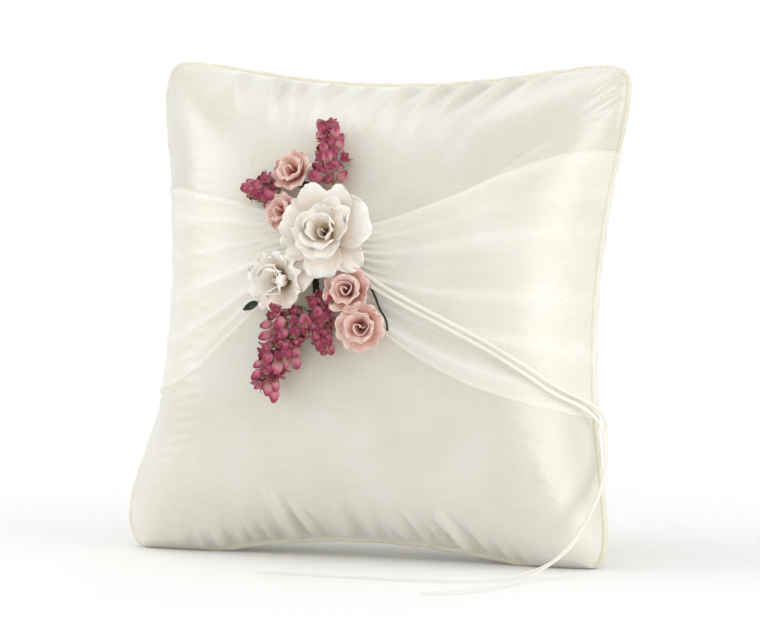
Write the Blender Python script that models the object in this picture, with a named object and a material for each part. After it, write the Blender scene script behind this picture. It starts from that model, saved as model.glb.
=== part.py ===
"""Ring bearer pillow: a padded satin square with a sheer sash, ring ribbons and a paper corsage.

The pillow is modelled about its own middle plane: x across it, z up its face and y through it,
with the front at -y. It stands on its two pressed bottom corners and leans back a little.
Units are metres, the table top is z = 0 and the origin is under the middle of the object.
"""

import math

import bmesh
import bpy
import numpy as np
from mathutils import Matrix, Vector

MM = 0.001

# Pillow
HALF_SIDE = 101.0 * MM          # middle to the seam line, before the sides pull in
HALF_THICKNESS = 44.0 * MM      # seam plane to the crown of one panel
PULL_IN_SIDES = 0.155           # share of the half side by which the left and right sides pull in
PULL_IN_TOP = 0.14
PULL_IN_BOTTOM = 0.175
SETTLED_STRETCH = 0.045         # the lower half hangs longer, as the filling settles
SETTLED_SPREAD = 0.02           # and its corners spread
CORNER_RADIUS = 22.0 * MM
CROWN_POWER = 0.38              # how blunt the crown is across the panel
CROWN_REACH = 0.97              # how far out the crown keeps some height
EDGE_POWER = 10.0               # how late the panel turns in to the seam
COVER_THICKNESS = 0.6 * MM
SEAM_ALLOWANCE = 5.0 * MM
LEAN = math.radians(9.0)
CORNER_PRESS = 6.0 * MM         # how far the bottom corners are pressed into the pillow
HEEL_DEPTH = (3.0 * MM, 12.0 * MM)  # how far the filling pushes out in front of and behind them
HEEL_PLACE = (0.72, -0.86)      # where it does, as shares of the half side
HEEL_SPREAD = (0.22, 0.2)
SEAM_CLEARANCE = 0.4 * MM
FILLING_CLEARANCE = 1.0 * MM

# Piping
BEAD_RADIUS = 1.9 * MM
SLEEVE_THICKNESS = 0.5 * MM
FLANGE_LENGTH = 5.0 * MM
FLANGE_GAP = 0.6 * MM

# Sash, as shares of the half side on the unpulled square
SASH_THICKNESS = 0.4 * MM
SASH_LIFT = 1.0 * MM
SASH_NECK_LIFT = 2.4 * MM
SASH_REACH = 0.985              # last station on a panel before the band turns round the piping
SASH_NECK_X = -0.08
SASH_NECK = (0.12, 0.31)
SASH_LEFT = (-0.34, 0.455)
SASH_RIGHT = (-0.38, 0.63)
TIE_RADIUS = 0.5 * MM

# Corsage base
CLEARANCE = 0.3 * MM
FELT_RADIUS = 11.0 * MM
FELT_PLACE = (-7.0 * MM, 22.0 * MM)
FELT_THICKNESS = 1.2 * MM
STEM_RADIUS = 1.3 * MM
WIRE_RADIUS = 0.6 * MM
PETAL_THICKNESS = 0.5 * MM

# Ring ribbons
RIBBON_WIDTH = 2.0 * MM
RIBBON_POINTS = 76
KNOT_RADIUS = 2.2 * MM
KNOT_BEARING = math.radians(-41.6)  # way from the felt's middle to the knot
KNOT_GAP = 0.97 * MM                # between the felt's edge and the knot

# Mesh fineness
SIDE_STEPS = 8
CORNER_STEPS = 4
RINGS = (0.25, 0.45, 0.62, 0.76, 0.86, 0.915, 0.95, 0.985)
FILLING_RINGS = (0.25, 0.45, 0.62, 0.76, 0.86, 0.915)


# ---------------------------------------------------------------- scene helpers

def clear_scene():
    """Remove what the file holds, so the model stands alone."""
    for item in list(bpy.data.objects):
        bpy.data.objects.remove(item, do_unlink=True)
    for mesh in list(bpy.data.meshes):
        bpy.data.meshes.remove(mesh)


def make_finish(name, colour, roughness, metallic=0.0):
    """A plain Principled finish."""
    finish = bpy.data.materials.new(name)
    finish.use_nodes = True
    shader = finish.node_tree.nodes["Principled BSDF"]
    shader.inputs["Base Color"].default_value = (*colour, 1.0)
    shader.inputs["Roughness"].default_value = roughness
    shader.inputs["Metallic"].default_value = metallic
    return finish


def add_empty(name, parent=None):
    """An empty that other objects hang from."""
    empty = bpy.data.objects.new(name, None)
    bpy.context.scene.collection.objects.link(empty)
    empty.parent = parent
    return empty


def add_body(name, points, faces, finish, parent):
    """One closed body from points and faces, its faces turned outwards."""
    mesh = bpy.data.meshes.new(name)
    mesh.from_pydata([tuple(map(float, p)) for p in points], [], [tuple(f) for f in faces])
    shape = bmesh.new()
    shape.from_mesh(mesh)
    bmesh.ops.recalc_face_normals(shape, faces=shape.faces)
    shape.to_mesh(mesh)
    shape.free()
    mesh.shade_smooth()
    mesh.set_sharp_from_angle(angle=math.radians(40))
    mesh.materials.append(finish)
    body = bpy.data.objects.new(name, mesh)
    bpy.context.scene.collection.objects.link(body)
    body.parent = parent
    return body


def grid_faces(rows, columns, wrap_rows=False, wrap_columns=False, start=0):
    """Quads between neighbouring points of a grid stored row by row."""
    faces = []
    for i in range(rows if wrap_rows else rows - 1):
        for j in range(columns if wrap_columns else columns - 1):
            i2 = (i + 1) % rows
            j2 = (j + 1) % columns
            faces.append((start + i * columns + j, start + i * columns + j2,
                          start + i2 * columns + j2, start + i2 * columns + j))
    return faces


# ---------------------------------------------------------------- pillow surface

def base_outline():
    """Rounded square on the unpulled plan, counter-clockwise, as (N, 2) in metres."""
    straight = np.linspace(-(HALF_SIDE - CORNER_RADIUS), HALF_SIDE - CORNER_RADIUS, SIDE_STEPS + 1)
    turn = np.linspace(0.0, math.pi / 2, CORNER_STEPS + 1)[1:-1]
    centre = HALF_SIDE - CORNER_RADIUS
    x = np.concatenate([np.full(straight.shape, HALF_SIDE), centre + CORNER_RADIUS * np.cos(turn)])
    z = np.concatenate([straight, centre + CORNER_RADIUS * np.sin(turn)])
    sides = []
    for quarter in range(4):
        c = round(math.cos(quarter * math.pi / 2))
        s = round(math.sin(quarter * math.pi / 2))
        sides.append(np.stack([x * c - z * s, x * s + z * c], axis=1))
    return np.concatenate(sides)


def pull_in(plan):
    """Draw the middles of the sides of the plan inwards and let the lower half settle."""
    x, z = plan[..., 0] / HALF_SIDE, plan[..., 1] / HALF_SIDE
    below = np.minimum(z, 0.0) ** 2
    pull_z = PULL_IN_TOP + (PULL_IN_BOTTOM - PULL_IN_TOP) * np.minimum(4.0 * below, 1.0)
    pulled_x = x * (1.0 - PULL_IN_SIDES * (1.0 - z ** 2)) * (1.0 + SETTLED_SPREAD * below)
    pulled_z = z * (1.0 - pull_z * (1.0 - x ** 2)) * (1.0 + SETTLED_STRETCH * below)
    return np.stack([pulled_x, pulled_z], axis=-1) * HALF_SIDE


def ring_share(plan):
    """How far out a plan point lies, from 0 in the middle to 1 on the rounded outline."""
    x, z = np.abs(plan[..., 0]), np.abs(plan[..., 1])
    share = np.maximum(x, z) / HALF_SIDE
    inner = HALF_SIDE - CORNER_RADIUS
    for _ in range(12):
        corner_x = np.maximum(x - share * inner, 0.0)
        corner_z = np.maximum(z - share * inner, 0.0)
        in_corner = (corner_x > 0.0) & (corner_z > 0.0)
        reach = np.hypot(corner_x, corner_z) / CORNER_RADIUS
        share = np.where(in_corner, np.maximum(share, 0.5 * (share + reach)), share)
    return np.minimum(share, 1.0)


def crown(plan, share, side):
    """Height of one panel over the seam plane, with the filling that settles over the corners."""
    x, z = plan[..., 0] / HALF_SIDE, plan[..., 1] / HALF_SIDE
    over_x, over_z = 1.0 - (CROWN_REACH * x) ** 2, 1.0 - (CROWN_REACH * z) ** 2
    height = HALF_THICKNESS * np.clip(over_x * over_z, 0.0, 1.0) ** CROWN_POWER
    away_x, away_z = (np.abs(x) - HEEL_PLACE[0]) / HEEL_SPREAD[0], (z - HEEL_PLACE[1]) / HEEL_SPREAD[1]
    height = height + HEEL_DEPTH[side > 0] * np.exp(-away_x ** 2 - away_z ** 2)
    return height * np.sqrt(np.clip(1.0 - share ** EDGE_POWER, 0.0, 1.0))


def cover_edge():
    """Distance of a cover's edge from the seam plane, beside the piping bead."""
    return BEAD_RADIUS + SEAM_CLEARANCE


def panel_points(plan, share, side):
    """Points of a panel; side is -1 for the front and 1 for the back."""
    pulled = pull_in(plan)
    y = side * (cover_edge() + crown(plan, share, side))
    return np.stack([pulled[..., 0], y, pulled[..., 1]], axis=-1)


def panel_normals(plan, side):
    """Outward unit normals of a panel, from small steps on the plan."""
    step = 0.0005
    right = panel_points(plan + [step, 0.0], ring_share(plan + [step, 0.0]), side)
    left = panel_points(plan - [step, 0.0], ring_share(plan - [step, 0.0]), side)
    upper = panel_points(plan + [0.0, step], ring_share(plan + [0.0, step]), side)
    lower = panel_points(plan - [0.0, step], ring_share(plan - [0.0, step]), side)
    normal = np.cross(right - left, upper - lower)
    normal /= np.linalg.norm(normal, axis=-1, keepdims=True)
    return normal * np.sign(normal[..., 1:2]) * side


def stance_height():
    """Height of the pillow's middle over the table, with its corners pressed."""
    seam = pull_in(base_outline())
    return -(seam[:, 1] * math.cos(LEAN)).min() + BEAD_RADIUS - CORNER_PRESS


def press_on_table(points, level):
    """Raise what lies lower than a level over the table, as the table presses it."""
    cos, sin = math.cos(LEAN), math.sin(LEAN)
    depth = points[..., 1] * cos + points[..., 2] * sin
    height = -points[..., 1] * sin + points[..., 2] * cos + stance_height()
    height = np.maximum(height, level) - stance_height()
    return np.stack([points[..., 0], depth * cos - height * sin, depth * sin + height * cos], axis=-1)


def face_place(x, z, lift):
    """A point over the front panel at a place on its face, and the panel's normal there."""
    plan = np.array([x, z])
    for _ in range(20):
        plan = plan + np.array([x, z]) - pull_in(plan)
    normal = panel_normals(plan, -1)
    return panel_points(plan, ring_share(plan), -1) + normal * lift, normal


# ---------------------------------------------------------------- pillow bodies

def cover_body(name, side, finish, parent):
    """A panel and its turned-in seam allowance, as one thin open shell."""
    outline = base_outline()
    count = len(outline)
    seam = pull_in(outline)
    tangent = np.roll(seam, -1, axis=0) - np.roll(seam, 1, axis=0)
    inward = np.stack([-tangent[:, 1], tangent[:, 0]], axis=1)
    inward /= np.linalg.norm(inward, axis=1, keepdims=True)
    allowance_y = side * (FLANGE_GAP / 2 + SLEEVE_THICKNESS + SEAM_CLEARANCE)

    outer = [panel_points(outline * r, np.full(count, r), side) for r in RINGS]
    normals = [panel_normals(outline * r, side) for r in RINGS]
    inner = [o - n * COVER_THICKNESS for o, n in zip(outer, normals)]
    edge = panel_points(outline, np.ones(count), side)
    edge_in = edge.copy()
    edge_in[:, [0, 2]] += inward * COVER_THICKNESS * 1.5
    edge_in[:, 1] += side * COVER_THICKNESS * 0.6
    turned = []
    for reach, depth in ((SEAM_ALLOWANCE, 0.0), (SEAM_ALLOWANCE, COVER_THICKNESS)):
        ring = edge.copy()
        ring[:, [0, 2]] += inward * reach
        ring[:, 1] = allowance_y + side * depth
        turned.append(ring)

    rings = [press_on_table(ring, 0.0) for ring in outer]
    rings += [press_on_table(edge, BEAD_RADIUS)]
    rings += [press_on_table(ring, BEAD_RADIUS + SEAM_ALLOWANCE) for ring in turned]
    rings += [press_on_table(edge_in, BEAD_RADIUS + COVER_THICKNESS * 1.5)]
    rings += [press_on_table(ring, COVER_THICKNESS) for ring in reversed(inner)]
    points = np.concatenate(rings)
    faces = grid_faces(len(rings), count, wrap_columns=True)
    crown_out = panel_points(np.zeros(2), np.zeros(()), side)
    crown_in = crown_out - np.array([0.0, side * COVER_THICKNESS, 0.0])
    last = (len(rings) - 1) * count
    top, bottom = len(points), len(points) + 1
    for j in range(count):
        j2 = (j + 1) % count
        faces.append((j2, j, top))
        faces.append((last + j, last + j2, bottom))
    points = np.concatenate([points, [crown_out, crown_in]])
    return add_body(name, points, faces, finish, parent)


def filling_body(finish, parent):
    """The fibre filling: the space inside both covers, short of the seam allowances."""
    outline = base_outline()
    count = len(outline)
    gap = COVER_THICKNESS + FILLING_CLEARANCE
    over_seam = BEAD_RADIUS + max(FLANGE_LENGTH, SEAM_ALLOWANCE) + FILLING_CLEARANCE
    rings, middles = [], []
    for side in (-1, 1):
        panel = []
        for r in FILLING_RINGS:
            ring = panel_points(outline * r, np.full(count, r), side)
            ring = ring - panel_normals(outline * r, side) * gap
            panel.append(press_on_table(ring, over_seam if r == FILLING_RINGS[-1] else gap))
        middle = panel_points(np.zeros(2), np.zeros(()), side)
        middles.append(middle - np.array([0.0, side * gap, 0.0]))
        rings += panel if side < 0 else panel[::-1]
    points = np.concatenate(rings + [[m] for m in middles])
    faces = grid_faces(len(rings), count, wrap_columns=True)
    last = (len(rings) - 1) * count
    front, back = len(points) - 2, len(points) - 1
    for j in range(count):
        j2 = (j + 1) % count
        faces.append((j2, j, front))
        faces.append((last + j, last + j2, back))
    return add_body("fibre_filling", points, faces, finish, parent)


def seam_path():
    """The line of the piping's middle, pressed up at the bottom corners, and its outward side."""
    seam = pull_in(base_outline())
    tangent = np.roll(seam, -1, axis=0) - np.roll(seam, 1, axis=0)
    outward = np.stack([tangent[:, 1], -tangent[:, 0]], axis=1)
    outward /= np.linalg.norm(outward, axis=1, keepdims=True)
    path = np.stack([seam[:, 0], np.zeros(len(seam)), seam[:, 1]], axis=1)
    path = press_on_table(path, BEAD_RADIUS)
    return path, np.stack([outward[:, 0], np.zeros(len(seam)), outward[:, 1]], axis=1)


def sweep_seam(name, section, finish, parent):
    """Carry a closed section (outward, through) right round the seam."""
    path, outward = seam_path()
    through = np.array([0.0, 1.0, 0.0])
    points = path[:, None, :] + outward[:, None, :] * section[None, :, :1]
    points = points + through * section[None, :, 1:]
    faces = grid_faces(len(path), len(section), wrap_rows=True, wrap_columns=True)
    return add_body(name, points.reshape(-1, 3), faces, finish, parent)


def piping_bodies(satin, cotton, parent):
    """The bias sleeve with its two flanges, and the cord inside it."""
    mouth_out = math.asin((FLANGE_GAP / 2 + SLEEVE_THICKNESS) / BEAD_RADIUS)
    bore = BEAD_RADIUS - SLEEVE_THICKNESS
    mouth_in = math.asin(FLANGE_GAP / 2 / bore)
    outer = np.linspace(math.pi - mouth_out, -(math.pi - mouth_out), 8)
    inner = np.linspace(-(math.pi - mouth_in), math.pi - mouth_in, 7)
    far = -FLANGE_LENGTH
    near_out, near_in = FLANGE_GAP / 2 + SLEEVE_THICKNESS, FLANGE_GAP / 2
    section = [(BEAD_RADIUS * math.cos(a), BEAD_RADIUS * math.sin(a)) for a in outer]
    section += [(far, -near_out), (far, -near_in)]
    section += [(bore * math.cos(a), bore * math.sin(a)) for a in inner]
    section += [(far, near_in), (far, near_out)]
    sweep_seam("piping_sleeve", np.array(section), satin, parent)

    core = bore * math.cos(math.pi / 7) - CLEARANCE
    turn = np.arange(6) * math.pi / 3
    sweep_seam("piping_cord", np.stack([core * np.cos(turn), core * np.sin(turn)], axis=1), cotton, parent)


# ---------------------------------------------------------------- sash

def smooth_step(t):
    """From 0 to 1 with flat ends."""
    t = np.clip(t, 0.0, 1.0)
    return t * t * (3.0 - 2.0 * t)


def sash_edges(x):
    """Lower and upper edge of the sash on the front, as shares of the half side."""
    right = np.clip((x - SASH_NECK_X) / (1.0 - SASH_NECK_X), 0.0, 1.0)
    left = np.clip((SASH_NECK_X - x) / (1.0 + SASH_NECK_X), 0.0, 1.0)
    lower = SASH_NECK[0] + (SASH_RIGHT[0] - SASH_NECK[0]) * (1.0 - (1.0 - right) ** 2.2)
    lower = lower + (SASH_LEFT[0] - SASH_NECK[0]) * smooth_step(1.15 * left)
    upper = SASH_NECK[1] + (SASH_RIGHT[1] - SASH_NECK[1]) * smooth_step(right)
    upper = upper + (SASH_LEFT[1] - SASH_NECK[1]) * (1.0 - (1.0 - left) ** 2)
    return lower, upper


def sash_body(finish, parent):
    """The organza band: fanned at the sides, gathered in front and flat across the back."""
    across = np.linspace(0.0, 1.0, 7)
    bunch = math.radians(78)
    spread = np.sin(np.linspace(0.0, 1.0, 10) * bunch) / math.sin(bunch) * SASH_REACH
    stations = np.concatenate([SASH_NECK_X - spread[:0:-1] * (1.0 + SASH_NECK_X / SASH_REACH),
                               SASH_NECK_X + spread * (1.0 - SASH_NECK_X / SASH_REACH)])
    back_x = np.sin(np.linspace(1.0, -1.0, 13) * bunch) / math.sin(bunch) * SASH_REACH
    around = BEAD_RADIUS + SASH_LIFT

    def panel_rows(shares, side):
        """Rows of points over one panel and the same points on the band's outer face."""
        rows = []
        for x in shares:
            if side < 0:
                lower, upper = sash_edges(x)
            else:
                mix = 0.5 * (x + 1.0)
                lower = SASH_LEFT[0] + (SASH_RIGHT[0] - SASH_LEFT[0]) * mix
                upper = SASH_LEFT[1] + (SASH_RIGHT[1] - SASH_LEFT[1]) * mix
            z = lower + (upper - lower) * across
            plan = np.stack([np.full(across.shape, x), z], axis=1) * HALF_SIDE
            neck = smooth_step(1.0 - abs(x - SASH_NECK_X) / 0.25) if side < 0 else 0.0
            lift = SASH_LIFT + (SASH_NECK_LIFT - SASH_LIFT) * neck
            normal = panel_normals(plan, side)
            base = panel_points(plan, ring_share(plan), side)
            rows.append((base + normal * lift, base + normal * (lift + SASH_THICKNESS)))
        return rows

    def edge_rows(sign, edges, turns):
        """Rows that carry the band round the piping at one side."""
        rows = []
        z = (edges[0] + (edges[1] - edges[0]) * across) * HALF_SIDE
        plan = np.stack([np.full(across.shape, sign * HALF_SIDE), z], axis=1)
        seam = pull_in(plan)
        for turn in turns:
            pair = []
            for reach in (around, around + SASH_THICKNESS):
                x = seam[:, 0] + sign * reach * math.cos(turn)
                pair.append(np.stack([x, np.full(z.shape, reach * math.sin(turn)), seam[:, 1]], axis=1))
            rows.append(tuple(pair))
        return rows

    quarter = math.radians(50)
    rows = panel_rows(stations, -1) + edge_rows(1, SASH_RIGHT, (-quarter, 0.0, quarter))
    rows += panel_rows(back_x, 1) + edge_rows(-1, SASH_LEFT, (quarter, 0.0, -quarter))
    loop = [np.concatenate([inner, outer[::-1]]) for inner, outer in rows]
    points = np.concatenate(loop)
    faces = grid_faces(len(loop), len(loop[0]), wrap_rows=True, wrap_columns=True)
    return add_body("organza_sash", points, faces, finish, parent)


# ---------------------------------------------------------------- tubes

def tube_body(name, path, radius, finish, parent, resolution=2, cyclic=False):
    """A round tube along a path, as a bevelled curve with closed ends."""
    curve = bpy.data.curves.new(name, "CURVE")
    curve.dimensions = "3D"
    curve.bevel_depth = radius
    curve.bevel_resolution = resolution
    curve.use_fill_caps = not cyclic
    curve.render_resolution_u = 0
    spline = curve.splines.new("POLY")
    spline.points.add(len(path) - 1)
    spline.use_cyclic_u = cyclic
    for point, place in zip(spline.points, path):
        point.co = (*map(float, place), 1.0)
    curve.materials.append(finish)
    body = bpy.data.objects.new(name, curve)
    bpy.context.scene.collection.objects.link(body)
    body.parent = parent
    return body


def smooth_path(route, count):
    """Evenly spaced points on a smooth curve through the points of a route."""
    route = np.array(route, dtype=float)
    knots = np.concatenate([[2 * route[0] - route[1]], route, [2 * route[-1] - route[-2]]])
    fine = []
    for i in range(1, len(knots) - 2):
        p0, p1, p2, p3 = knots[i - 1:i + 3]
        for t in np.linspace(0.0, 1.0, 12, endpoint=False):
            fine.append(0.5 * (2 * p1 + (p2 - p0) * t + (2 * p0 - 5 * p1 + 4 * p2 - p3) * t ** 2
                               + (3 * p1 - p0 - 3 * p2 + p3) * t ** 3))
    fine.append(route[-1])
    fine = np.array(fine)
    reach = np.concatenate([[0.0], np.cumsum(np.linalg.norm(np.diff(fine, axis=0), axis=1))])
    even = np.linspace(0.0, reach[-1], count)
    return np.stack([np.interp(even, reach, fine[:, k]) for k in range(3)], axis=1)


# ---------------------------------------------------------------- corsage

def stack_lift():
    """Height over the cover of the sash's outer face at its neck."""
    return SASH_NECK_LIFT + SASH_THICKNESS


def felt_lift():
    """Height over the cover of the felt's top, over the sash and its tie."""
    return stack_lift() + CLEARANCE + 2 * TIE_RADIUS + CLEARANCE + FELT_THICKNESS


def place_on_face(body, x, z, lift, tilt_x=0.0, tilt_z=0.0, heading=0.0):
    """Stand a body on the front face, its own z axis along the face's normal plus a tilt."""
    place, normal = face_place(x, z, lift)
    axis = Vector(normal) + Vector((math.tan(tilt_x), 0.0, math.tan(tilt_z)))
    turn = axis.normalized().to_track_quat("Z", "Y")
    spin = Matrix.Rotation(heading, 4, "Z")
    body.matrix_local = Matrix.Translation(Vector(place)) @ turn.to_matrix().to_4x4() @ spin
    return body


def cup_body(name, petals, radius, foot, base, height, steepness, scallop, finish, parent, turn=0.0):
    """A ring of petals as one thin scalloped cup, open at the top and dished below."""
    around = petals * 4
    angle = np.arange(around) * 2 * math.pi / around
    wave = 0.5 + 0.5 * np.cos(petals * (angle + turn))
    shares = (0.35, 0.62, 0.84, 1.0)
    inner, outer = [], []
    for share in shares:
        grow = share ** 2
        reach = foot + (radius - foot) * share * (1.0 - scallop * grow * (1.0 - wave))
        rise = base + height * share ** steepness * (1.0 - 0.5 * scallop * grow * (1.0 - wave))
        slope = height * steepness * share ** (steepness - 1.0) / (radius - foot)
        tip = math.atan(slope)
        inner.append((reach, rise))
        outer.append((reach + PETAL_THICKNESS * math.sin(tip), rise - PETAL_THICKNESS * math.cos(tip)))
    profile = inner + outer[::-1]
    rings = []
    for reach, rise in profile:
        rings.append(np.stack([reach * np.cos(angle), reach * np.sin(angle), rise + 0 * angle], axis=1))
    points = np.concatenate(rings + [[(0.0, 0.0, base)], [(0.0, 0.0, base - PETAL_THICKNESS)]])
    faces = grid_faces(len(rings), around, wrap_columns=True)
    last = (len(rings) - 1) * around
    top, bottom = len(points) - 2, len(points) - 1
    for j in range(around):
        j2 = (j + 1) % around
        faces.append((j2, j, top))
        faces.append((last + j, last + j2, bottom))
    return add_body(name, points, faces, finish, parent)


def bud_points(length, radius, sides):
    """A turned bud from a thin foot at the origin up to its blunt tip."""
    profile = ((0.0, 0.22), (0.35, 0.3), (0.52, 0.85), (0.74, 1.0), (0.92, 0.62))
    angle = np.arange(sides) * 2 * math.pi / sides
    rings = []
    for share, width in profile:
        ring = [radius * width * np.cos(angle), radius * width * np.sin(angle), length * share + 0 * angle]
        rings.append(np.stack(ring, axis=1))
    points = np.concatenate(rings + [[(0.0, 0.0, 0.0)], [(0.0, 0.0, length)]])
    faces = grid_faces(len(rings), sides, wrap_columns=True)
    last = (len(rings) - 1) * sides
    for j in range(sides):
        j2 = (j + 1) % sides
        faces.append((j2, j, len(points) - 2))
        faces.append((last + j, last + j2, len(points) - 1))
    return points, faces


def heart_body(name, radius, base, height, finish, parent):
    """The tight bud in the middle of a rose."""
    points, faces = bud_points(height, radius, 8)
    points = points + np.array([0.0, 0.0, base])
    return add_body(name, points, faces, finish, parent)


def join_into(body, other):
    """Unite another body with this one and leave the other out of the model."""
    other.hide_render = True
    other.display_type = "WIRE"
    union = body.modifiers.new("unite_" + other.name, "BOOLEAN")
    union.operation = "UNION"
    union.solver = "EXACT"
    union.object = other


def spray_body(name, start, end, buds, reach, length, bud_radius, lift, finish, parent):
    """A stem with buds set round it in a spiral, all one body."""
    foot, _ = face_place(start[0], start[1], lift)
    tip, _ = face_place(end[0], end[1], lift)
    axis = Vector(tip) - Vector(foot)
    along = axis.normalized()
    side = along.cross(Vector((0.0, 1.0, 0.0))).normalized()
    front = along.cross(side).normalized()
    if front.y > 0:
        front = -front
    turn = along.to_track_quat("Z", "Y").to_matrix().to_4x4()
    points, faces = bud_points(axis.length + length, 1.1 * MM, 6)
    stem = add_body(name, points, faces, finish, parent)
    stem.matrix_local = Matrix.Translation(Vector(foot)) @ turn
    for i in range(buds):
        share = (i + 0.5) / buds
        swing = math.radians(-62 + 124 * ((i * 0.382 + 0.1) % 1.0))
        spread = reach * (1.0 - 0.45 * share)
        out = side * math.sin(swing) + front * math.cos(swing)
        direction = (out + along * 0.75).normalized()
        bud, quads = bud_points(spread + length * 0.5, bud_radius, 6)
        piece = add_body(f"{name}_bud_{i}", bud, quads, finish, parent)
        place = Vector(foot) + axis * share
        piece.matrix_local = (Matrix.Translation(place)
                              @ direction.to_track_quat("Z", "Y").to_matrix().to_4x4())
        join_into(stem, piece)
    return stem


def leaf_body(name, x, z, lift, length, width, heading, finish, parent):
    """A small pointed leaf, lying nearly flat on the face."""
    shares = (0.0, 0.3, 0.65, 1.0)
    widths = (0.18, 0.9, 0.75, 0.08)
    thickness = 0.5 * MM
    points = []
    for share, part in zip(shares, widths):
        half = 0.5 * width * part
        rise = 1.2 * MM * share ** 2
        for u, v in ((-half, 0.0), (half, 0.0), (half, thickness), (-half, thickness)):
            points.append((u, length * share, rise + v))
    faces = grid_faces(len(shares), 4, wrap_columns=True)
    faces += [(3, 2, 1, 0), (12, 13, 14, 15)]
    leaf = add_body(name, points, faces, finish, parent)
    return place_on_face(leaf, x, z, lift, heading=heading)


def large_rose(paper, parent):
    """The wide ivory rose in the middle of the corsage."""
    base = felt_lift() + CLEARANCE + PETAL_THICKNESS
    step = PETAL_THICKNESS + CLEARANCE
    parts = [
        cup_body("large_rose_outer_petals", 5, 16.0 * MM, 2.5 * MM, 0.0, 3.0 * MM, 1.4, 0.14, paper, parent),
        cup_body("large_rose_middle_petals", 5, 12.5 * MM, 2.2 * MM, step, 7.0 * MM, 1.5, 0.12, paper, parent,
                 turn=0.6),
        cup_body("large_rose_inner_petals", 4, 7.0 * MM, 2.0 * MM, 2 * step, 9.0 * MM, 1.5, 0.1, paper, parent,
                 turn=0.3),
        heart_body("large_rose_heart", 2.6 * MM, 2 * step + CLEARANCE, 8.5 * MM, paper, parent),
    ]
    for part in parts:
        place_on_face(part, -5.0 * MM, 24.0 * MM, base, tilt_x=math.radians(4))


def small_rose(paper, parent):
    """The half-open ivory rose at the lower left."""
    step = PETAL_THICKNESS + CLEARANCE
    parts = [
        cup_body("small_rose_outer_petals", 4, 11.2 * MM, 2.0 * MM, 0.0, 8.5 * MM, 1.5, 0.12, paper, parent),
        cup_body("small_rose_inner_petals", 3, 6.6 * MM, 1.8 * MM, step, 9.5 * MM, 1.5, 0.1, paper, parent,
                 turn=0.5),
        heart_body("small_rose_heart", 2.4 * MM, step + CLEARANCE, 8.0 * MM, paper, parent),
    ]
    for part in parts:
        place_on_face(part, -22.5 * MM, 6.5 * MM, 4.2 * MM, tilt_x=math.radians(-8), tilt_z=math.radians(-6))


def pink_roses(paper, parent):
    """Four small rosettes: two above the large rose and two below it."""
    places = {
        "upper": (-22.0, 48.5, 7.0, 2.2, -6, 6),
        "left": (-27.5, 33.0, 5.6, 2.2, -10, 0),
        "right": (6.8, 1.2, 6.8, 3.0, 4, 2),
        "lower": (12.6, -12.8, 7.4, 2.4, 6, -6),
    }
    step = PETAL_THICKNESS + CLEARANCE
    for key, (x, z, radius, lift, tilt_x, tilt_z) in places.items():
        r = radius * MM
        outer = cup_body(f"pink_rose_{key}_outer_petals", 4, r, 1.4 * MM, 0.0, 0.75 * r, 1.4, 0.1,
                         paper, parent, turn=x)
        inner = cup_body(f"pink_rose_{key}_inner_petals", 3, 0.55 * r, 1.2 * MM, step, 0.9 * r, 1.4, 0.08,
                         paper, parent, turn=z)
        for part in (outer, inner):
            place_on_face(part, x * MM, z * MM, lift * MM, math.radians(tilt_x), math.radians(tilt_z))


def sprays(finish, parent):
    """Four sprays of buds: upper, left, lower left and lower middle."""
    mm = MM
    spray_body("bud_spray_upper", (-7 * mm, 43 * mm), (-10.5 * mm, 64 * mm), 9, 5.5 * mm, 5.0 * mm,
               2.2 * mm, 3.8 * mm, finish, parent)
    spray_body("bud_spray_left", (-33 * mm, 41 * mm), (-42 * mm, 41 * mm), 5, 4.6 * mm, 4.8 * mm,
               2.1 * mm, 3.4 * mm, finish, parent)
    spray_body("bud_spray_lower_left", (-16 * mm, -8.5 * mm), (-26.5 * mm, -33 * mm), 12, 8.0 * mm, 5.0 * mm,
               2.3 * mm, 3.8 * mm, finish, parent)
    spray_body("bud_spray_lower", (-4.5 * mm, -8.5 * mm), (-4.5 * mm, -16 * mm), 5, 4.2 * mm, 4.4 * mm,
               2.0 * mm, 3.4 * mm, finish, parent)


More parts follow.
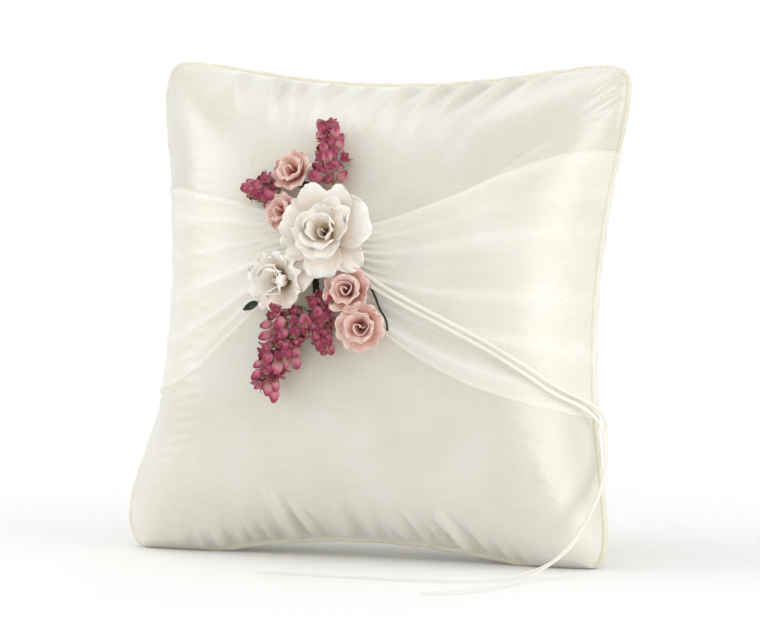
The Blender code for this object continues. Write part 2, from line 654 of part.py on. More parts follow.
def corsage_base(felt, tape, thread, green, parent):
    """What carries the flowers: the sash tie, the felt, the taped stems, a wire and two leaves."""
    neck = pull_in(np.array([[SASH_NECK_X, SASH_NECK[0]], [SASH_NECK_X, SASH_NECK[1]]]) * HALF_SIDE)
    neck_low, neck_high = neck[0, 1] - 1.8 * MM, neck[1, 1] + 1.8 * MM
    tie_x = neck[0, 0]
    behind = 0.5 * SASH_NECK_LIFT
    ahead = stack_lift() + CLEARANCE + TIE_RADIUS
    steps = np.linspace(0.0, 1.0, 5)
    loop = [face_place(tie_x, neck_low + (neck_high - neck_low) * t, behind)[0] for t in steps]
    loop += [face_place(tie_x, neck_high - (neck_high - neck_low) * t, ahead)[0] for t in steps]
    tube_body("sash_tie", loop, TIE_RADIUS, thread, parent, resolution=1, cyclic=True)

    angle = np.arange(20) * 2 * math.pi / 20
    ring = np.stack([FELT_RADIUS * np.cos(angle), FELT_RADIUS * np.sin(angle), 0 * angle], axis=1)
    points = np.concatenate([ring, ring + [0.0, 0.0, FELT_THICKNESS]])
    faces = grid_faces(2, 20, wrap_columns=True) + [tuple(range(20)), tuple(range(20, 40))]
    disc = add_body("felt_backing", points, faces, felt, parent)
    place_on_face(disc, FELT_PLACE[0], FELT_PLACE[1], felt_lift() - FELT_THICKNESS)

    top = (FELT_PLACE[1] - FELT_RADIUS - STEM_RADIUS) / MM - 0.5
    stems = [face_place(x * MM, z * MM, lift * MM)[0]
             for x, z, lift in ((-8.5, top, 5.4), (-8.0, 5.0, 4.8), (-7.6, 0.0, 4.2), (-7.4, -4.2, 3.8))]
    tube_body("taped_stems", smooth_path(stems, 8), STEM_RADIUS, tape, parent)
    wire = [face_place(x * MM, z * MM, lift * MM)[0]
            for x, z, lift in ((6.5, 14.0, 5.8), (13.0, 9.6, 5.4), (18.6, 3.6, 5.3), (21.4, -3.5, 4.6),
                               (21.6, -8.5, 3.8), (21.0, -12.5, 4.0))]
    tube_body("floral_wire", smooth_path(wire, 14), WIRE_RADIUS, green, parent, resolution=1)
    leaf_body("leaf_left", -34.0 * MM, -1.5 * MM, 2.2 * MM, 7.0 * MM, 3.6 * MM, math.radians(115), green, parent)
    leaf_body("leaf_upper", -14.0 * MM, 42.5 * MM, 2.4 * MM, 7.0 * MM, 3.2 * MM, math.radians(80), green, parent)


# ---------------------------------------------------------------- ring ribbons

def ribbon_routes():
    """Hand-chosen points of the two ribbons' middle lines, in millimetres over the table."""
    front = [(5.9, -42.2, 111.4), (18.1, -42.8, 104.6), (28.4, -42.6, 99.3), (38.5, -41.7, 94.4),
             (46.7, -40.5, 90.2), (54.7, -38.7, 85.9), (61.4, -36.6, 81.8), (67.8, -33.9, 77.4),
             (73.4, -30.5, 73.1), (78.4, -26.3, 68.7), (82.9, -21.3, 65.2), (86.6, -15.5, 62.4),
             (90.0, -10.4, 58.8), (92.4, -6.6, 54.2), (93.7, -5.9, 49.2), (94.9, -8.3, 43.5),
             (96.2, -12.1, 38.5), (96.8, -17.1, 34.0), (96.8, -22.6, 29.0), (95.8, -28.1, 23.5),
             (94.3, -33.0, 18.5), (91.2, -37.0, 12.5), (87.4, -40.7, 8.0), (83.6, -44.0, 4.8),
             (80.2, -49.0, 2.5), (77.8, -57.0, 1.3), (76.0, -68.0, 1.15), (72.0, -82.0, 1.15),
             (64.5, -93.0, 1.15), (54.0, -100.0, 1.15)]
    back = [(7.0, -41.7, 113.5), (19.2, -42.4, 106.7), (29.4, -42.1, 101.5), (39.6, -41.2, 96.5),
            (47.8, -39.9, 92.3), (55.9, -38.0, 88.0), (62.7, -35.8, 83.7), (69.3, -32.6, 79.2),
            (75.0, -28.8, 74.8), (80.0, -24.1, 70.4), (84.2, -18.5, 66.9), (87.9, -11.9, 63.9),
            (91.2, -6.0, 60.2), (92.8, -2.4, 55.7), (93.1, -1.6, 50.2), (93.9, -4.4, 43.5),
            (95.1, -8.4, 38.5), (95.6, -13.4, 34.0), (95.6, -19.0, 29.0), (94.6, -24.4, 23.5),
            (93.1, -29.5, 18.5), (90.1, -33.5, 12.5), (86.2, -37.0, 8.0), (81.8, -40.0, 4.8),
            (76.6, -43.5, 2.5), (71.0, -49.5, 1.3), (65.0, -57.0, 1.15), (55.5, -63.0, 1.15),
            (34.0, -66.5, 1.15), (8.0, -65.5, 1.15), (-10.0, -64.5, 1.15), (-24.0, -66.5, 1.15)]
    return {"ring_ribbon_1": front, "ring_ribbon_2": back}


def knot_body(finish, parent):
    """The small knot under the flowers that both ribbons hang from."""
    shape = bmesh.new()
    bmesh.ops.create_uvsphere(shape, u_segments=12, v_segments=8, radius=KNOT_RADIUS)
    mesh = bpy.data.meshes.new("ribbon_knot")
    shape.to_mesh(mesh)
    shape.free()
    mesh.shade_smooth()
    mesh.materials.append(finish)
    knot = bpy.data.objects.new("ribbon_knot", mesh)
    bpy.context.scene.collection.objects.link(knot)
    knot.parent = parent
    away = FELT_RADIUS + KNOT_GAP + KNOT_RADIUS
    x = FELT_PLACE[0] + away * math.cos(KNOT_BEARING)
    z = FELT_PLACE[1] + away * math.sin(KNOT_BEARING)
    return place_on_face(knot, x, z, stack_lift() + KNOT_RADIUS)


def ring_ribbons(finish):
    """The two ribbons, from the knot across the sash, over the side and down to the table."""
    for name, route in ribbon_routes().items():
        path = smooth_path(np.array(route) * MM, RIBBON_POINTS)
        tube_body(name, path, RIBBON_WIDTH / 2, finish, None)


# ---------------------------------------------------------------- whole object

def settle_origin(root):
    """Put the origin on the table under the middle of everything but the ribbons."""
    bpy.context.view_layer.update()
    graph = bpy.context.evaluated_depsgraph_get()
    low, high = Vector((1e9,) * 3), Vector((-1e9,) * 3)
    for item in bpy.context.scene.objects:
        if item.type == "EMPTY" or item.hide_render or item.name.startswith("ring_ribbon"):
            continue
        shape = item.evaluated_get(graph)
        mesh = shape.to_mesh()
        for vertex in mesh.vertices:
            place = item.matrix_world @ vertex.co
            low = Vector(map(min, low, place))
            high = Vector(map(max, high, place))
        shape.to_mesh_clear()
    root.location = (-(low.x + high.x) / 2, -(low.y + high.y) / 2, -low.z)
    bpy.context.view_layer.update()


def main():
    """Build the whole pillow."""
    clear_scene()
    satin = make_finish("ivory_satin", (0.80, 0.78, 0.68), 0.35)
    bias = make_finish("ivory_bias_satin", (0.78, 0.75, 0.60), 0.4)
    cotton = make_finish("cotton_cord", (0.82, 0.80, 0.74), 0.9)
    fibre = make_finish("polyester_fibre", (0.9, 0.9, 0.9), 0.95)
    organza = make_finish("ivory_organza", (0.88, 0.87, 0.80), 0.5)
    thread = make_finish("ivory_thread", (0.82, 0.80, 0.70), 0.7)
    ribbon = make_finish("ivory_ribbon_satin", (0.86, 0.84, 0.76), 0.35)
    felt = make_finish("ivory_felt", (0.85, 0.83, 0.76), 0.95)
    tape = make_finish("floral_tape", (0.05, 0.06, 0.035), 0.8)
    green = make_finish("dark_leaf_paper", (0.06, 0.09, 0.05), 0.8)
    ivory_paper = make_finish("ivory_paper", (0.84, 0.76, 0.66), 0.85)
    pink_paper = make_finish("dusty_pink_paper", (0.66, 0.40, 0.36), 0.85)
    berry = make_finish("burgundy_bud_paper", (0.36, 0.08, 0.14), 0.7)

    root = add_empty("on_table")
    stance = add_empty("stance", root)
    stance.rotation_euler = (-LEAN, 0.0, 0.0)
    stance.location = (0.0, 0.0, stance_height())

    cover_body("front_cover", -1, satin, stance)
    cover_body("back_cover", 1, satin, stance)
    filling_body(fibre, stance)
    piping_bodies(bias, cotton, stance)
    sash_body(organza, stance)
    corsage_base(felt, tape, thread, green, stance)
    large_rose(ivory_paper, stance)
    small_rose(ivory_paper, stance)
    pink_roses(pink_paper, stance)
    sprays(berry, stance)
    knot_body(ribbon, stance)
    settle_origin(root)
    ring_ribbons(ribbon)


main()
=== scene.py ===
"""Looks of a ring bearer pillow: ivory satin, piped seam, sheer sash, ring ribbons and a corsage.

Sizes are in metres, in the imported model's frame: x to the right of the flowered face, y out of
the back and z up, with the table at z = 0. The pillow's own frame stands on its middle plane.
"""

from __future__ import annotations

import logging
import math
from dataclasses import dataclass, field
from enum import Enum

import bmesh
import bpy
import numpy as np
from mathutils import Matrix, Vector


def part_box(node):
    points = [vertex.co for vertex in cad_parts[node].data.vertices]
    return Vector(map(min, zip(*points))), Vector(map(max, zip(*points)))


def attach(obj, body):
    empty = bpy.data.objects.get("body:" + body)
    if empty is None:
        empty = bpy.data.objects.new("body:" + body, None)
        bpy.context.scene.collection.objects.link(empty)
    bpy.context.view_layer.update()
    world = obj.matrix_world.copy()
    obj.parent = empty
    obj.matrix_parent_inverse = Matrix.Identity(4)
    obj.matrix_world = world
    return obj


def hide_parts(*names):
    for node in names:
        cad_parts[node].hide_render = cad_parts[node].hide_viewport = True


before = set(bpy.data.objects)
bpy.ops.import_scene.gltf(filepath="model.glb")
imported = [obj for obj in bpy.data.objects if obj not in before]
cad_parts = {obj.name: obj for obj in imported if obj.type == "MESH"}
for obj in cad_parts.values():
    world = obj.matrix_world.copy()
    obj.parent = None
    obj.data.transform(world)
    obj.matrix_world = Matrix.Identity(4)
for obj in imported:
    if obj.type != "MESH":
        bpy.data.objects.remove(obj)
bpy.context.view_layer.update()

LOG = logging.getLogger("ring_pillow")
MM = 0.001
Array = np.ndarray


class Panel(Enum):
    """One of the pillow's two satin panels, by the side of the seam it lies on."""

    FRONT = -1
    BACK = 1


# ---------------------------------------------------------------- colour and shader helpers


def linear(code: str, alpha: float = 1.0) -> tuple[float, float, float, float]:
    """Turn an sRGB hex colour into linear values.

    Args:
        code: Six hex digits after a hash.
        alpha: Fourth value of the result.

    Returns:
        Red, green, blue and alpha for a shader's colour socket.
    """
    parts = [int(code[i:i + 2], 16) / 255.0 for i in (1, 3, 5)]
    curve = [p / 12.92 if p <= 0.04045 else ((p + 0.055) / 1.055) ** 2.4 for p in parts]
    return (curve[0], curve[1], curve[2], alpha)


def add_node(tree: bpy.types.NodeTree, kind: str, settings: dict | None = None,
             links: dict | None = None) -> bpy.types.Node:
    """Add one shader node with its settings and incoming links.

    Args:
        tree: Node tree of the material.
        kind: Blender's name of the node type.
        settings: Attribute or socket names with their values.
        links: Socket names or numbers with the output sockets that feed them.

    Returns:
        The new node.
    """
    node = tree.nodes.new(kind)
    for name, value in (settings or {}).items():
        if isinstance(name, int) or name in node.inputs:
            node.inputs[name].default_value = value
        else:
            setattr(node, name, value)
    for name, source in (links or {}).items():
        tree.links.new(source, node.inputs[name])
    return node


def new_material(name: str, shader: dict) -> tuple[bpy.types.Material, bpy.types.NodeTree, bpy.types.Node]:
    """Start a material whose Principled shader has these uniform values on its own sockets.

    Args:
        name: Material name.
        shader: Socket names of the Principled shader with their values.

    Returns:
        The material, its node tree and its Principled shader.
    """
    material = bpy.data.materials.new(name)
    material.use_nodes = True
    tree = material.node_tree
    base = tree.nodes["Principled BSDF"]
    for socket, value in shader.items():
        base.inputs[socket].default_value = value
    return material, tree, base


def colour_ramp(tree: bpy.types.NodeTree, stops: tuple[tuple[float, str], ...],
                source: bpy.types.NodeSocket) -> bpy.types.Node:
    """Map a value through colour stops, each a position and an sRGB hex colour.

    Args:
        tree: Node tree of the material.
        stops: Places from 0 to 1 with their colours.
        source: The value to map.

    Returns:
        The ramp node.
    """
    ramp = add_node(tree, "ShaderNodeValToRGB", {}, {"Fac": source})
    elements = ramp.color_ramp.elements
    while len(elements) < len(stops):
        elements.new(0.5)
    for element, (place, code) in zip(elements, stops):
        element.position = place
        element.color = linear(code)
    return ramp


# ---------------------------------------------------------------- mesh helpers


@dataclass
class Patch:
    """A grid of points that becomes quads.

    Attributes:
        points: Array of rows, columns and 3 coordinates.
        close_rows: Join the last row to the first.
        close_columns: Join the last column to the first.
        flip: Turn the faces over.
        depth: One value a point, from 0 in the depth of a piece to 1 at its rim.
        tone: One value for the whole patch, which varies its colour.
    """

    points: Array
    close_rows: bool = False
    close_columns: bool = False
    flip: bool = False
    depth: Array | None = None
    tone: float = 0.5


def grid_quads(rows: int, columns: int, close_rows: bool, close_columns: bool, flip: bool) -> Array:
    """Quads between neighbours of a grid whose points are stored row by row.

    Args:
        rows: Rows of the grid.
        columns: Columns of the grid.
        close_rows: Join the last row to the first.
        close_columns: Join the last column to the first.
        flip: Turn the faces over.

    Returns:
        Four point numbers for each quad.
    """
    i = np.arange(rows if close_rows else rows - 1)[:, None]
    j = np.arange(columns if close_columns else columns - 1)[None, :]
    i2, j2 = (i + 1) % rows, (j + 1) % columns
    quads = np.stack([i * columns + j, i * columns + j2, i2 * columns + j2, i2 * columns + j], axis=-1)
    quads = quads.reshape(-1, 4)
    return quads[:, ::-1] if flip else quads


def mesh_object(name: str, patches: list[Patch], material: bpy.types.Material) -> bpy.types.Object:
    """Make one smooth mesh piece from grid patches, with depth, tone and a UV in millimetres.

    Args:
        name: Name of the piece.
        patches: Grids that make it up.
        material: Its finish.

    Returns:
        The new object, at the origin.
    """
    points, quads, depths, tones, maps, start = [], [], [], [], [], 0
    for patch in patches:
        rows, columns = patch.points.shape[:2]
        flat = patch.points.reshape(-1, 3)
        points.append(flat)
        quads.append(grid_quads(rows, columns, patch.close_rows, patch.close_columns, patch.flip) + start)
        depth = np.ones((rows, columns)) if patch.depth is None else patch.depth
        depths.append(np.broadcast_to(depth, (rows, columns)).ravel())
        tones.append(np.full(rows * columns, patch.tone))
        across = np.linalg.norm(np.diff(patch.points, axis=1), axis=2).mean(axis=0) / MM
        along = np.linalg.norm(np.diff(patch.points, axis=0), axis=2).mean(axis=1) / MM
        u = np.concatenate([[0.0], np.cumsum(across)])
        v = np.concatenate([[0.0], np.cumsum(along)])
        maps.append(np.stack(np.meshgrid(u, v), axis=-1).reshape(-1, 2))
        start += rows * columns
    all_quads = np.concatenate(quads)
    mesh = bpy.data.meshes.new(name)
    mesh.from_pydata(np.concatenate(points).tolist(), [], all_quads.tolist())
    for label, values in (("depth", depths), ("tone", tones)):
        layer = mesh.attributes.new(label, "FLOAT", "POINT")
        layer.data.foreach_set("value", np.concatenate(values).astype(np.float32))
    chart = mesh.uv_layers.new(name="millimetres")
    chart.data.foreach_set("uv", np.concatenate(maps)[all_quads.ravel()].astype(np.float32).ravel())
    mesh.materials.append(material)
    mesh.shade_smooth()
    piece = bpy.data.objects.new(name, mesh)
    bpy.context.scene.collection.objects.link(piece)
    return piece


def thicken(piece: bpy.types.Object, thickness: float, offset: float = 0.0) -> bpy.types.Object:
    """Give a sheet its thickness with a Solidify modifier.

    Args:
        piece: The sheet.
        thickness: Wall in metres.
        offset: 0 for both sides alike, 1 or -1 for one side.

    Returns:
        The same piece.
    """
    wall = piece.modifiers.new("thickness", "SOLIDIFY")
    wall.thickness = thickness
    wall.offset = offset
    return piece


def unit(vectors: Array) -> Array:
    """Vectors scaled to a length of one."""
    return vectors / np.maximum(np.linalg.norm(vectors, axis=-1, keepdims=True), 1e-12)


def grid_normals(grid: Array) -> Array:
    """Unit normals of a grid of points: rows cross columns."""
    return unit(np.cross(np.gradient(grid, axis=0), np.gradient(grid, axis=1)))


def smooth_step(t: Array | float) -> Array:
    """From 0 to 1 with flat ends: 3t^2 - 2t^3."""
    t = np.clip(t, 0.0, 1.0)
    return t * t * (3.0 - 2.0 * t)


def smooth_path(route: Array, count: int) -> Array:
    """Evenly spaced points on a Catmull-Rom curve through the rows of a route.

    Args:
        route: The chosen points.
        count: How many points to give.

    Returns:
        The points of the path.
    """
    knots = np.concatenate([[2 * route[0] - route[1]], route, [2 * route[-1] - route[-2]]])
    p0, p1, p2, p3 = knots[:-3, None], knots[1:-2, None], knots[2:-1, None], knots[3:, None]
    t = np.linspace(0.0, 1.0, 12, endpoint=False)[None, :, None]
    fine = 0.5 * (2 * p1 + (p2 - p0) * t + (2 * p0 - 5 * p1 + 4 * p2 - p3) * t ** 2
                  + (3 * p1 - p0 - 3 * p2 + p3) * t ** 3)
    fine = np.concatenate([fine.reshape(-1, route.shape[1]), route[-1:]])
    reach = np.concatenate([[0.0], np.cumsum(np.linalg.norm(np.diff(fine, axis=0), axis=1))])
    even = np.linspace(0.0, reach[-1], count)
    return np.stack([np.interp(even, reach, fine[:, k]) for k in range(route.shape[1])], axis=1)


def carry_section(path: Array, up: Array, section: Array) -> Array:
    """Carry a closed section along a path, closed to a point at both ends.

    A point is the path's point plus a step sideways and a step along the up direction, where up
    is first made square to the path and the side is their cross product.

    Args:
        path: Points of the middle line.
        up: Rough up direction at each of them.
        section: Steps sideways and up, either one section or one for each point.

    Returns:
        Grid of points, path by section, with a shrunken ring at each end.
    """
    ahead = unit(np.gradient(path, axis=0))
    square = unit(up - ahead * (up * ahead).sum(axis=1, keepdims=True))
    side = np.cross(ahead, square)
    shape = np.broadcast_to(section, (len(path),) + section.shape[-2:])
    rings = path[:, None] + side[:, None] * shape[..., :1] + square[:, None] * shape[..., 1:]
    first, last = np.repeat(path[:1, None], rings.shape[1], 1), np.repeat(path[-1:, None], rings.shape[1], 1)
    return np.concatenate([first, rings, last])


def round_section(radius: float, sides: int, flat: float = 1.0) -> Array:
    """Steps round an ellipse that is as wide as the radius says and flat times as high."""
    angle = np.arange(sides) * 2 * math.pi / sides
    return np.stack([radius * np.cos(angle), radius * flat * np.sin(angle)], axis=1)


def closed_loop(path: Array, out: Array, section: Array) -> Array:
    """Carry a closed section round a closed path: rows along it, columns round the section.

    Args:
        path: Points of the middle line.
        out: Direction square to the path at each of them.
        section: Steps along that direction and through it.

    Returns:
        Grid of points, path by section.
    """
    ahead = unit(np.roll(path, -1, axis=0) - np.roll(path, 1, axis=0))
    through = np.cross(ahead, out)
    return path[:, None] + out[:, None] * section[None, :, :1] + through[:, None] * section[None, :, 1:]


# ---------------------------------------------------------------- finishes


@dataclass(frozen=True)
class Satin:
    """Polyester satin: long floats of filament that run one way.

    It gives the eye a soft broad sheen, small slubs along the floats and a cool bright fold.

    Attributes:
        name: Material name.
        light: Colour of the floats that face the light.
        shade: Colour of the threads between them.
        roughness: Mean roughness.
        float_length: Length of a drawn float in millimetres.
        float_width: Its width; real ones are 0.12 mm, too fine to show, so it is drawn coarser.
        on_map: Read the piece's own millimetre map, as a narrow ribbon or piping does.
    """

    name: str
    light: str = "#E4E2D6"
    shade: str = "#DAD7C4"
    roughness: float = 0.34
    float_length: float = 9.0
    float_width: float = 0.55
    on_map: bool = False

    def build(self) -> bpy.types.Material:
        """Build the material."""
        material, tree, base = new_material(self.name, {
            "Sheen Weight": 1.0, "Sheen Roughness": 0.45, "Specular IOR Level": 1.0})
        place = add_node(tree, "ShaderNodeTexCoord")
        source = place.outputs["UV" if self.on_map else "Object"]
        per_metre = 1.0 if self.on_map else 1.0 / MM
        floats = add_node(tree, "ShaderNodeMapping", {
            "Scale": (per_metre / self.float_length,) + 2 * (per_metre / self.float_width,),
        }, {"Vector": source})
        slubs = add_node(tree, "ShaderNodeTexNoise", {"Scale": 1.0, "Detail": 3.0},
                         {"Vector": floats.outputs[0]})
        broad = add_node(tree, "ShaderNodeTexNoise", {"Scale": 0.035 * per_metre, "Detail": 2.0},
                         {"Vector": source})
        mixed = add_node(tree, "ShaderNodeMath", {"operation": "MULTIPLY_ADD", 1: 0.55},
                         {0: slubs.outputs["Fac"], 2: broad.outputs["Fac"]})
        colours = colour_ramp(tree, ((0.55, self.shade), (0.95, self.light)), mixed.outputs[0])
        rough = add_node(tree, "ShaderNodeMapRange", {
            "From Min": 0.3, "From Max": 0.7,
            "To Min": self.roughness - 0.05, "To Max": self.roughness + 0.07},
            {"Value": slubs.outputs["Fac"]})
        bump = add_node(tree, "ShaderNodeBump", {"Strength": 0.18, "Distance": 0.00012},
                        {"Height": slubs.outputs["Fac"]})
        tree.links.new(colours.outputs["Color"], base.inputs["Base Color"])
        tree.links.new(rough.outputs[0], base.inputs["Roughness"])
        tree.links.new(bump.outputs[0], base.inputs["Normal"])
        return material


@dataclass(frozen=True)
class Organza:
    """Crisp sheer organza of fine twisted filament.

    It gives the eye a veil that whitens where folds lie over each other, with a hair-fine net.

    Attributes:
        name: Material name.
        colour: Colour of the filament.
        sheer: Share covered by a single layer.
        folded: Share covered where folds lie over each other.
        thread: Spacing of the net in millimetres; really 0.25 mm, drawn coarser so that it shows.
    """

    name: str = "ivory_polyester_organza"
    colour: str = "#FFFEF8"
    sheer: float = 0.13
    folded: float = 0.62
    thread: float = 0.8

    def build(self) -> bpy.types.Material:
        """Build the material, whose cover comes from the depth attribute."""
        material, tree, base = new_material(self.name, {
            "Base Color": linear(self.colour), "Sheen Weight": 0.7, "Sheen Roughness": 0.3})
        place = add_node(tree, "ShaderNodeTexCoord")
        lines = []
        for direction in ("X", "Y"):
            lines.append(add_node(tree, "ShaderNodeTexWave", {
                "wave_type": "BANDS", "bands_direction": direction, "Scale": 0.314 / self.thread,
                "Distortion": 0.4, "Detail": 1.0}, {"Vector": place.outputs["UV"]}))
        net = add_node(tree, "ShaderNodeMath", {"operation": "ADD"},
                       {0: lines[0].outputs["Fac"], 1: lines[1].outputs["Fac"]})
        folds = add_node(tree, "ShaderNodeAttribute", {"attribute_name": "depth"})
        cover = add_node(tree, "ShaderNodeMapRange", {
            "From Min": 0.0, "From Max": 1.0, "To Min": self.sheer, "To Max": self.folded},
            {"Value": folds.outputs["Fac"]})
        alpha = add_node(tree, "ShaderNodeMath", {"operation": "MULTIPLY_ADD", 1: 0.025, "use_clamp": True},
                         {0: net.outputs[0], 2: cover.outputs[0]})
        rough = add_node(tree, "ShaderNodeMapRange", {
            "From Min": 0.0, "From Max": 2.0, "To Min": 0.38, "To Max": 0.52}, {"Value": net.outputs[0]})
        tree.links.new(alpha.outputs[0], base.inputs["Alpha"])
        tree.links.new(rough.outputs[0], base.inputs["Roughness"])
        return material


@dataclass(frozen=True)
class MulberryPaper:
    """Hand-made mulberry paper, dyed, cut and rolled into petals.

    It gives the eye a matt, slightly furry sheet with long fibres. Its colour runs along the depth attribute.
    On the flower papers the dark first stops are painted shade deep in the flower, at the petals' feet, and
    the colour pales towards the rims. On the bud paper the stops are the buds' own colours.

    Attributes:
        name: Material name.
        stops: Colours from the depth of the flower to the rims; on the flowers the dark first ones are
            painted shade.
        fibre: Length of a fibre in millimetres.
        roughness: Its roughness.
        mottle: How much the dye varies, as a share.
        tone_share: How far one petal's colour lies from another's.
    """

    name: str
    stops: tuple[tuple[float, str], ...]
    fibre: float = 2.2
    roughness: float = 0.82
    mottle: float = 0.16
    tone_share: float = 0.14

    def build(self) -> bpy.types.Material:
        """Build the material, coloured by the depth and tone attributes."""
        material, tree, base = new_material(self.name, {
            "Roughness": self.roughness, "Specular IOR Level": 0.3, "Sheen Weight": 0.15})
        place = add_node(tree, "ShaderNodeTexCoord")
        depth = add_node(tree, "ShaderNodeAttribute", {"attribute_name": "depth"})
        tone = add_node(tree, "ShaderNodeAttribute", {"attribute_name": "tone"})
        fibres = add_node(tree, "ShaderNodeTexNoise", {"Scale": 1.0 / (self.fibre * MM), "Detail": 4.0,
                                                       "Roughness": 0.65, "Distortion": 0.8},
                          {"Vector": place.outputs["Object"]})
        veins = add_node(tree, "ShaderNodeTexNoise", {"Scale": 6.0 / (self.fibre * MM), "Detail": 2.0},
                         {"Vector": place.outputs["Object"]})
        spread = add_node(tree, "ShaderNodeMapRange", {
            "From Min": 0.2, "From Max": 0.8, "To Min": -self.mottle, "To Max": self.mottle},
            {"Value": fibres.outputs["Fac"]})
        lean = add_node(tree, "ShaderNodeMapRange", {
            "To Min": -self.tone_share, "To Max": self.tone_share}, {"Value": tone.outputs["Fac"]})
        moved = add_node(tree, "ShaderNodeMath", {"operation": "ADD"},
                         {0: depth.outputs["Fac"], 1: spread.outputs[0]})
        where = add_node(tree, "ShaderNodeMath", {"operation": "ADD", "use_clamp": True},
                         {0: moved.outputs[0], 1: lean.outputs[0]})
        # On the flower papers this ramp paints shade deep in the flower, at the petals' feet.
        colours = colour_ramp(tree, self.stops, where.outputs[0])
        height = add_node(tree, "ShaderNodeMath", {"operation": "MULTIPLY_ADD", 1: 0.5},
                          {0: veins.outputs["Fac"], 2: fibres.outputs["Fac"]})
        bump = add_node(tree, "ShaderNodeBump", {"Strength": 0.35, "Distance": 0.00025},
                        {"Height": height.outputs[0]})
        tree.links.new(colours.outputs["Color"], base.inputs["Base Color"])
        tree.links.new(bump.outputs[0], base.inputs["Normal"])
        return material


@dataclass(frozen=True)
class SpunFibre:
    """Short matt fibre, as in felt, thread and crepe tape.

    It gives the eye a dull surface whose colour wanders from fibre to fibre.

    Attributes:
        name: Material name.
        light: Colour of the raised fibres.
        dark: Colour between them.
        grain: Size of a tuft or a crease in millimetres.
        stretch: How much longer it is along the piece's z.
    """

    name: str
    light: str
    dark: str
    grain: float
    stretch: float = 1.0

    def build(self) -> bpy.types.Material:
        """Build the material."""
        material, tree, base = new_material(self.name, {"Roughness": 0.92, "Specular IOR Level": 0.2,
                                                        "Sheen Weight": 0.3})
        place = add_node(tree, "ShaderNodeTexCoord")
        per = 1.0 / (self.grain * MM)
        turned = add_node(tree, "ShaderNodeMapping", {"Scale": (per, per, per / self.stretch)},
                          {"Vector": place.outputs["Object"]})
        tufts = add_node(tree, "ShaderNodeTexNoise", {"Scale": 1.0, "Detail": 5.0, "Roughness": 0.7},
                         {"Vector": turned.outputs[0]})
        colours = colour_ramp(tree, ((0.3, self.dark), (0.7, self.light)), tufts.outputs["Fac"])
        bump = add_node(tree, "ShaderNodeBump", {"Strength": 0.6, "Distance": 0.0002},
                        {"Height": tufts.outputs["Fac"]})
        tree.links.new(colours.outputs["Color"], base.inputs["Base Color"])
        tree.links.new(bump.outputs[0], base.inputs["Normal"])
        return material


# ---------------------------------------------------------------- the pillow's form


@dataclass
class Dent:
    """A soft valley, or with a negative depth a soft ridge, pressed into a panel."""

    x: float
    z: float
    length: float
    width: float
    turn: float
    depth: float

    def at(self, x: Array, z: Array) -> Array:
        """Depth at shares x and z: a Gaussian that is longer one way than the other.

        Args:
            x: Share across.
            z: Share upwards.

        Returns:
            Depth in metres.
        """
        cos, sin = math.cos(math.radians(self.turn)), math.sin(math.radians(self.turn))
        along = (x - self.x) * cos + (z - self.z) * sin
        across = (z - self.z) * cos - (x - self.x) * sin
        return self.depth * np.exp(-(along / self.length) ** 2 - (across / self.width) ** 2)


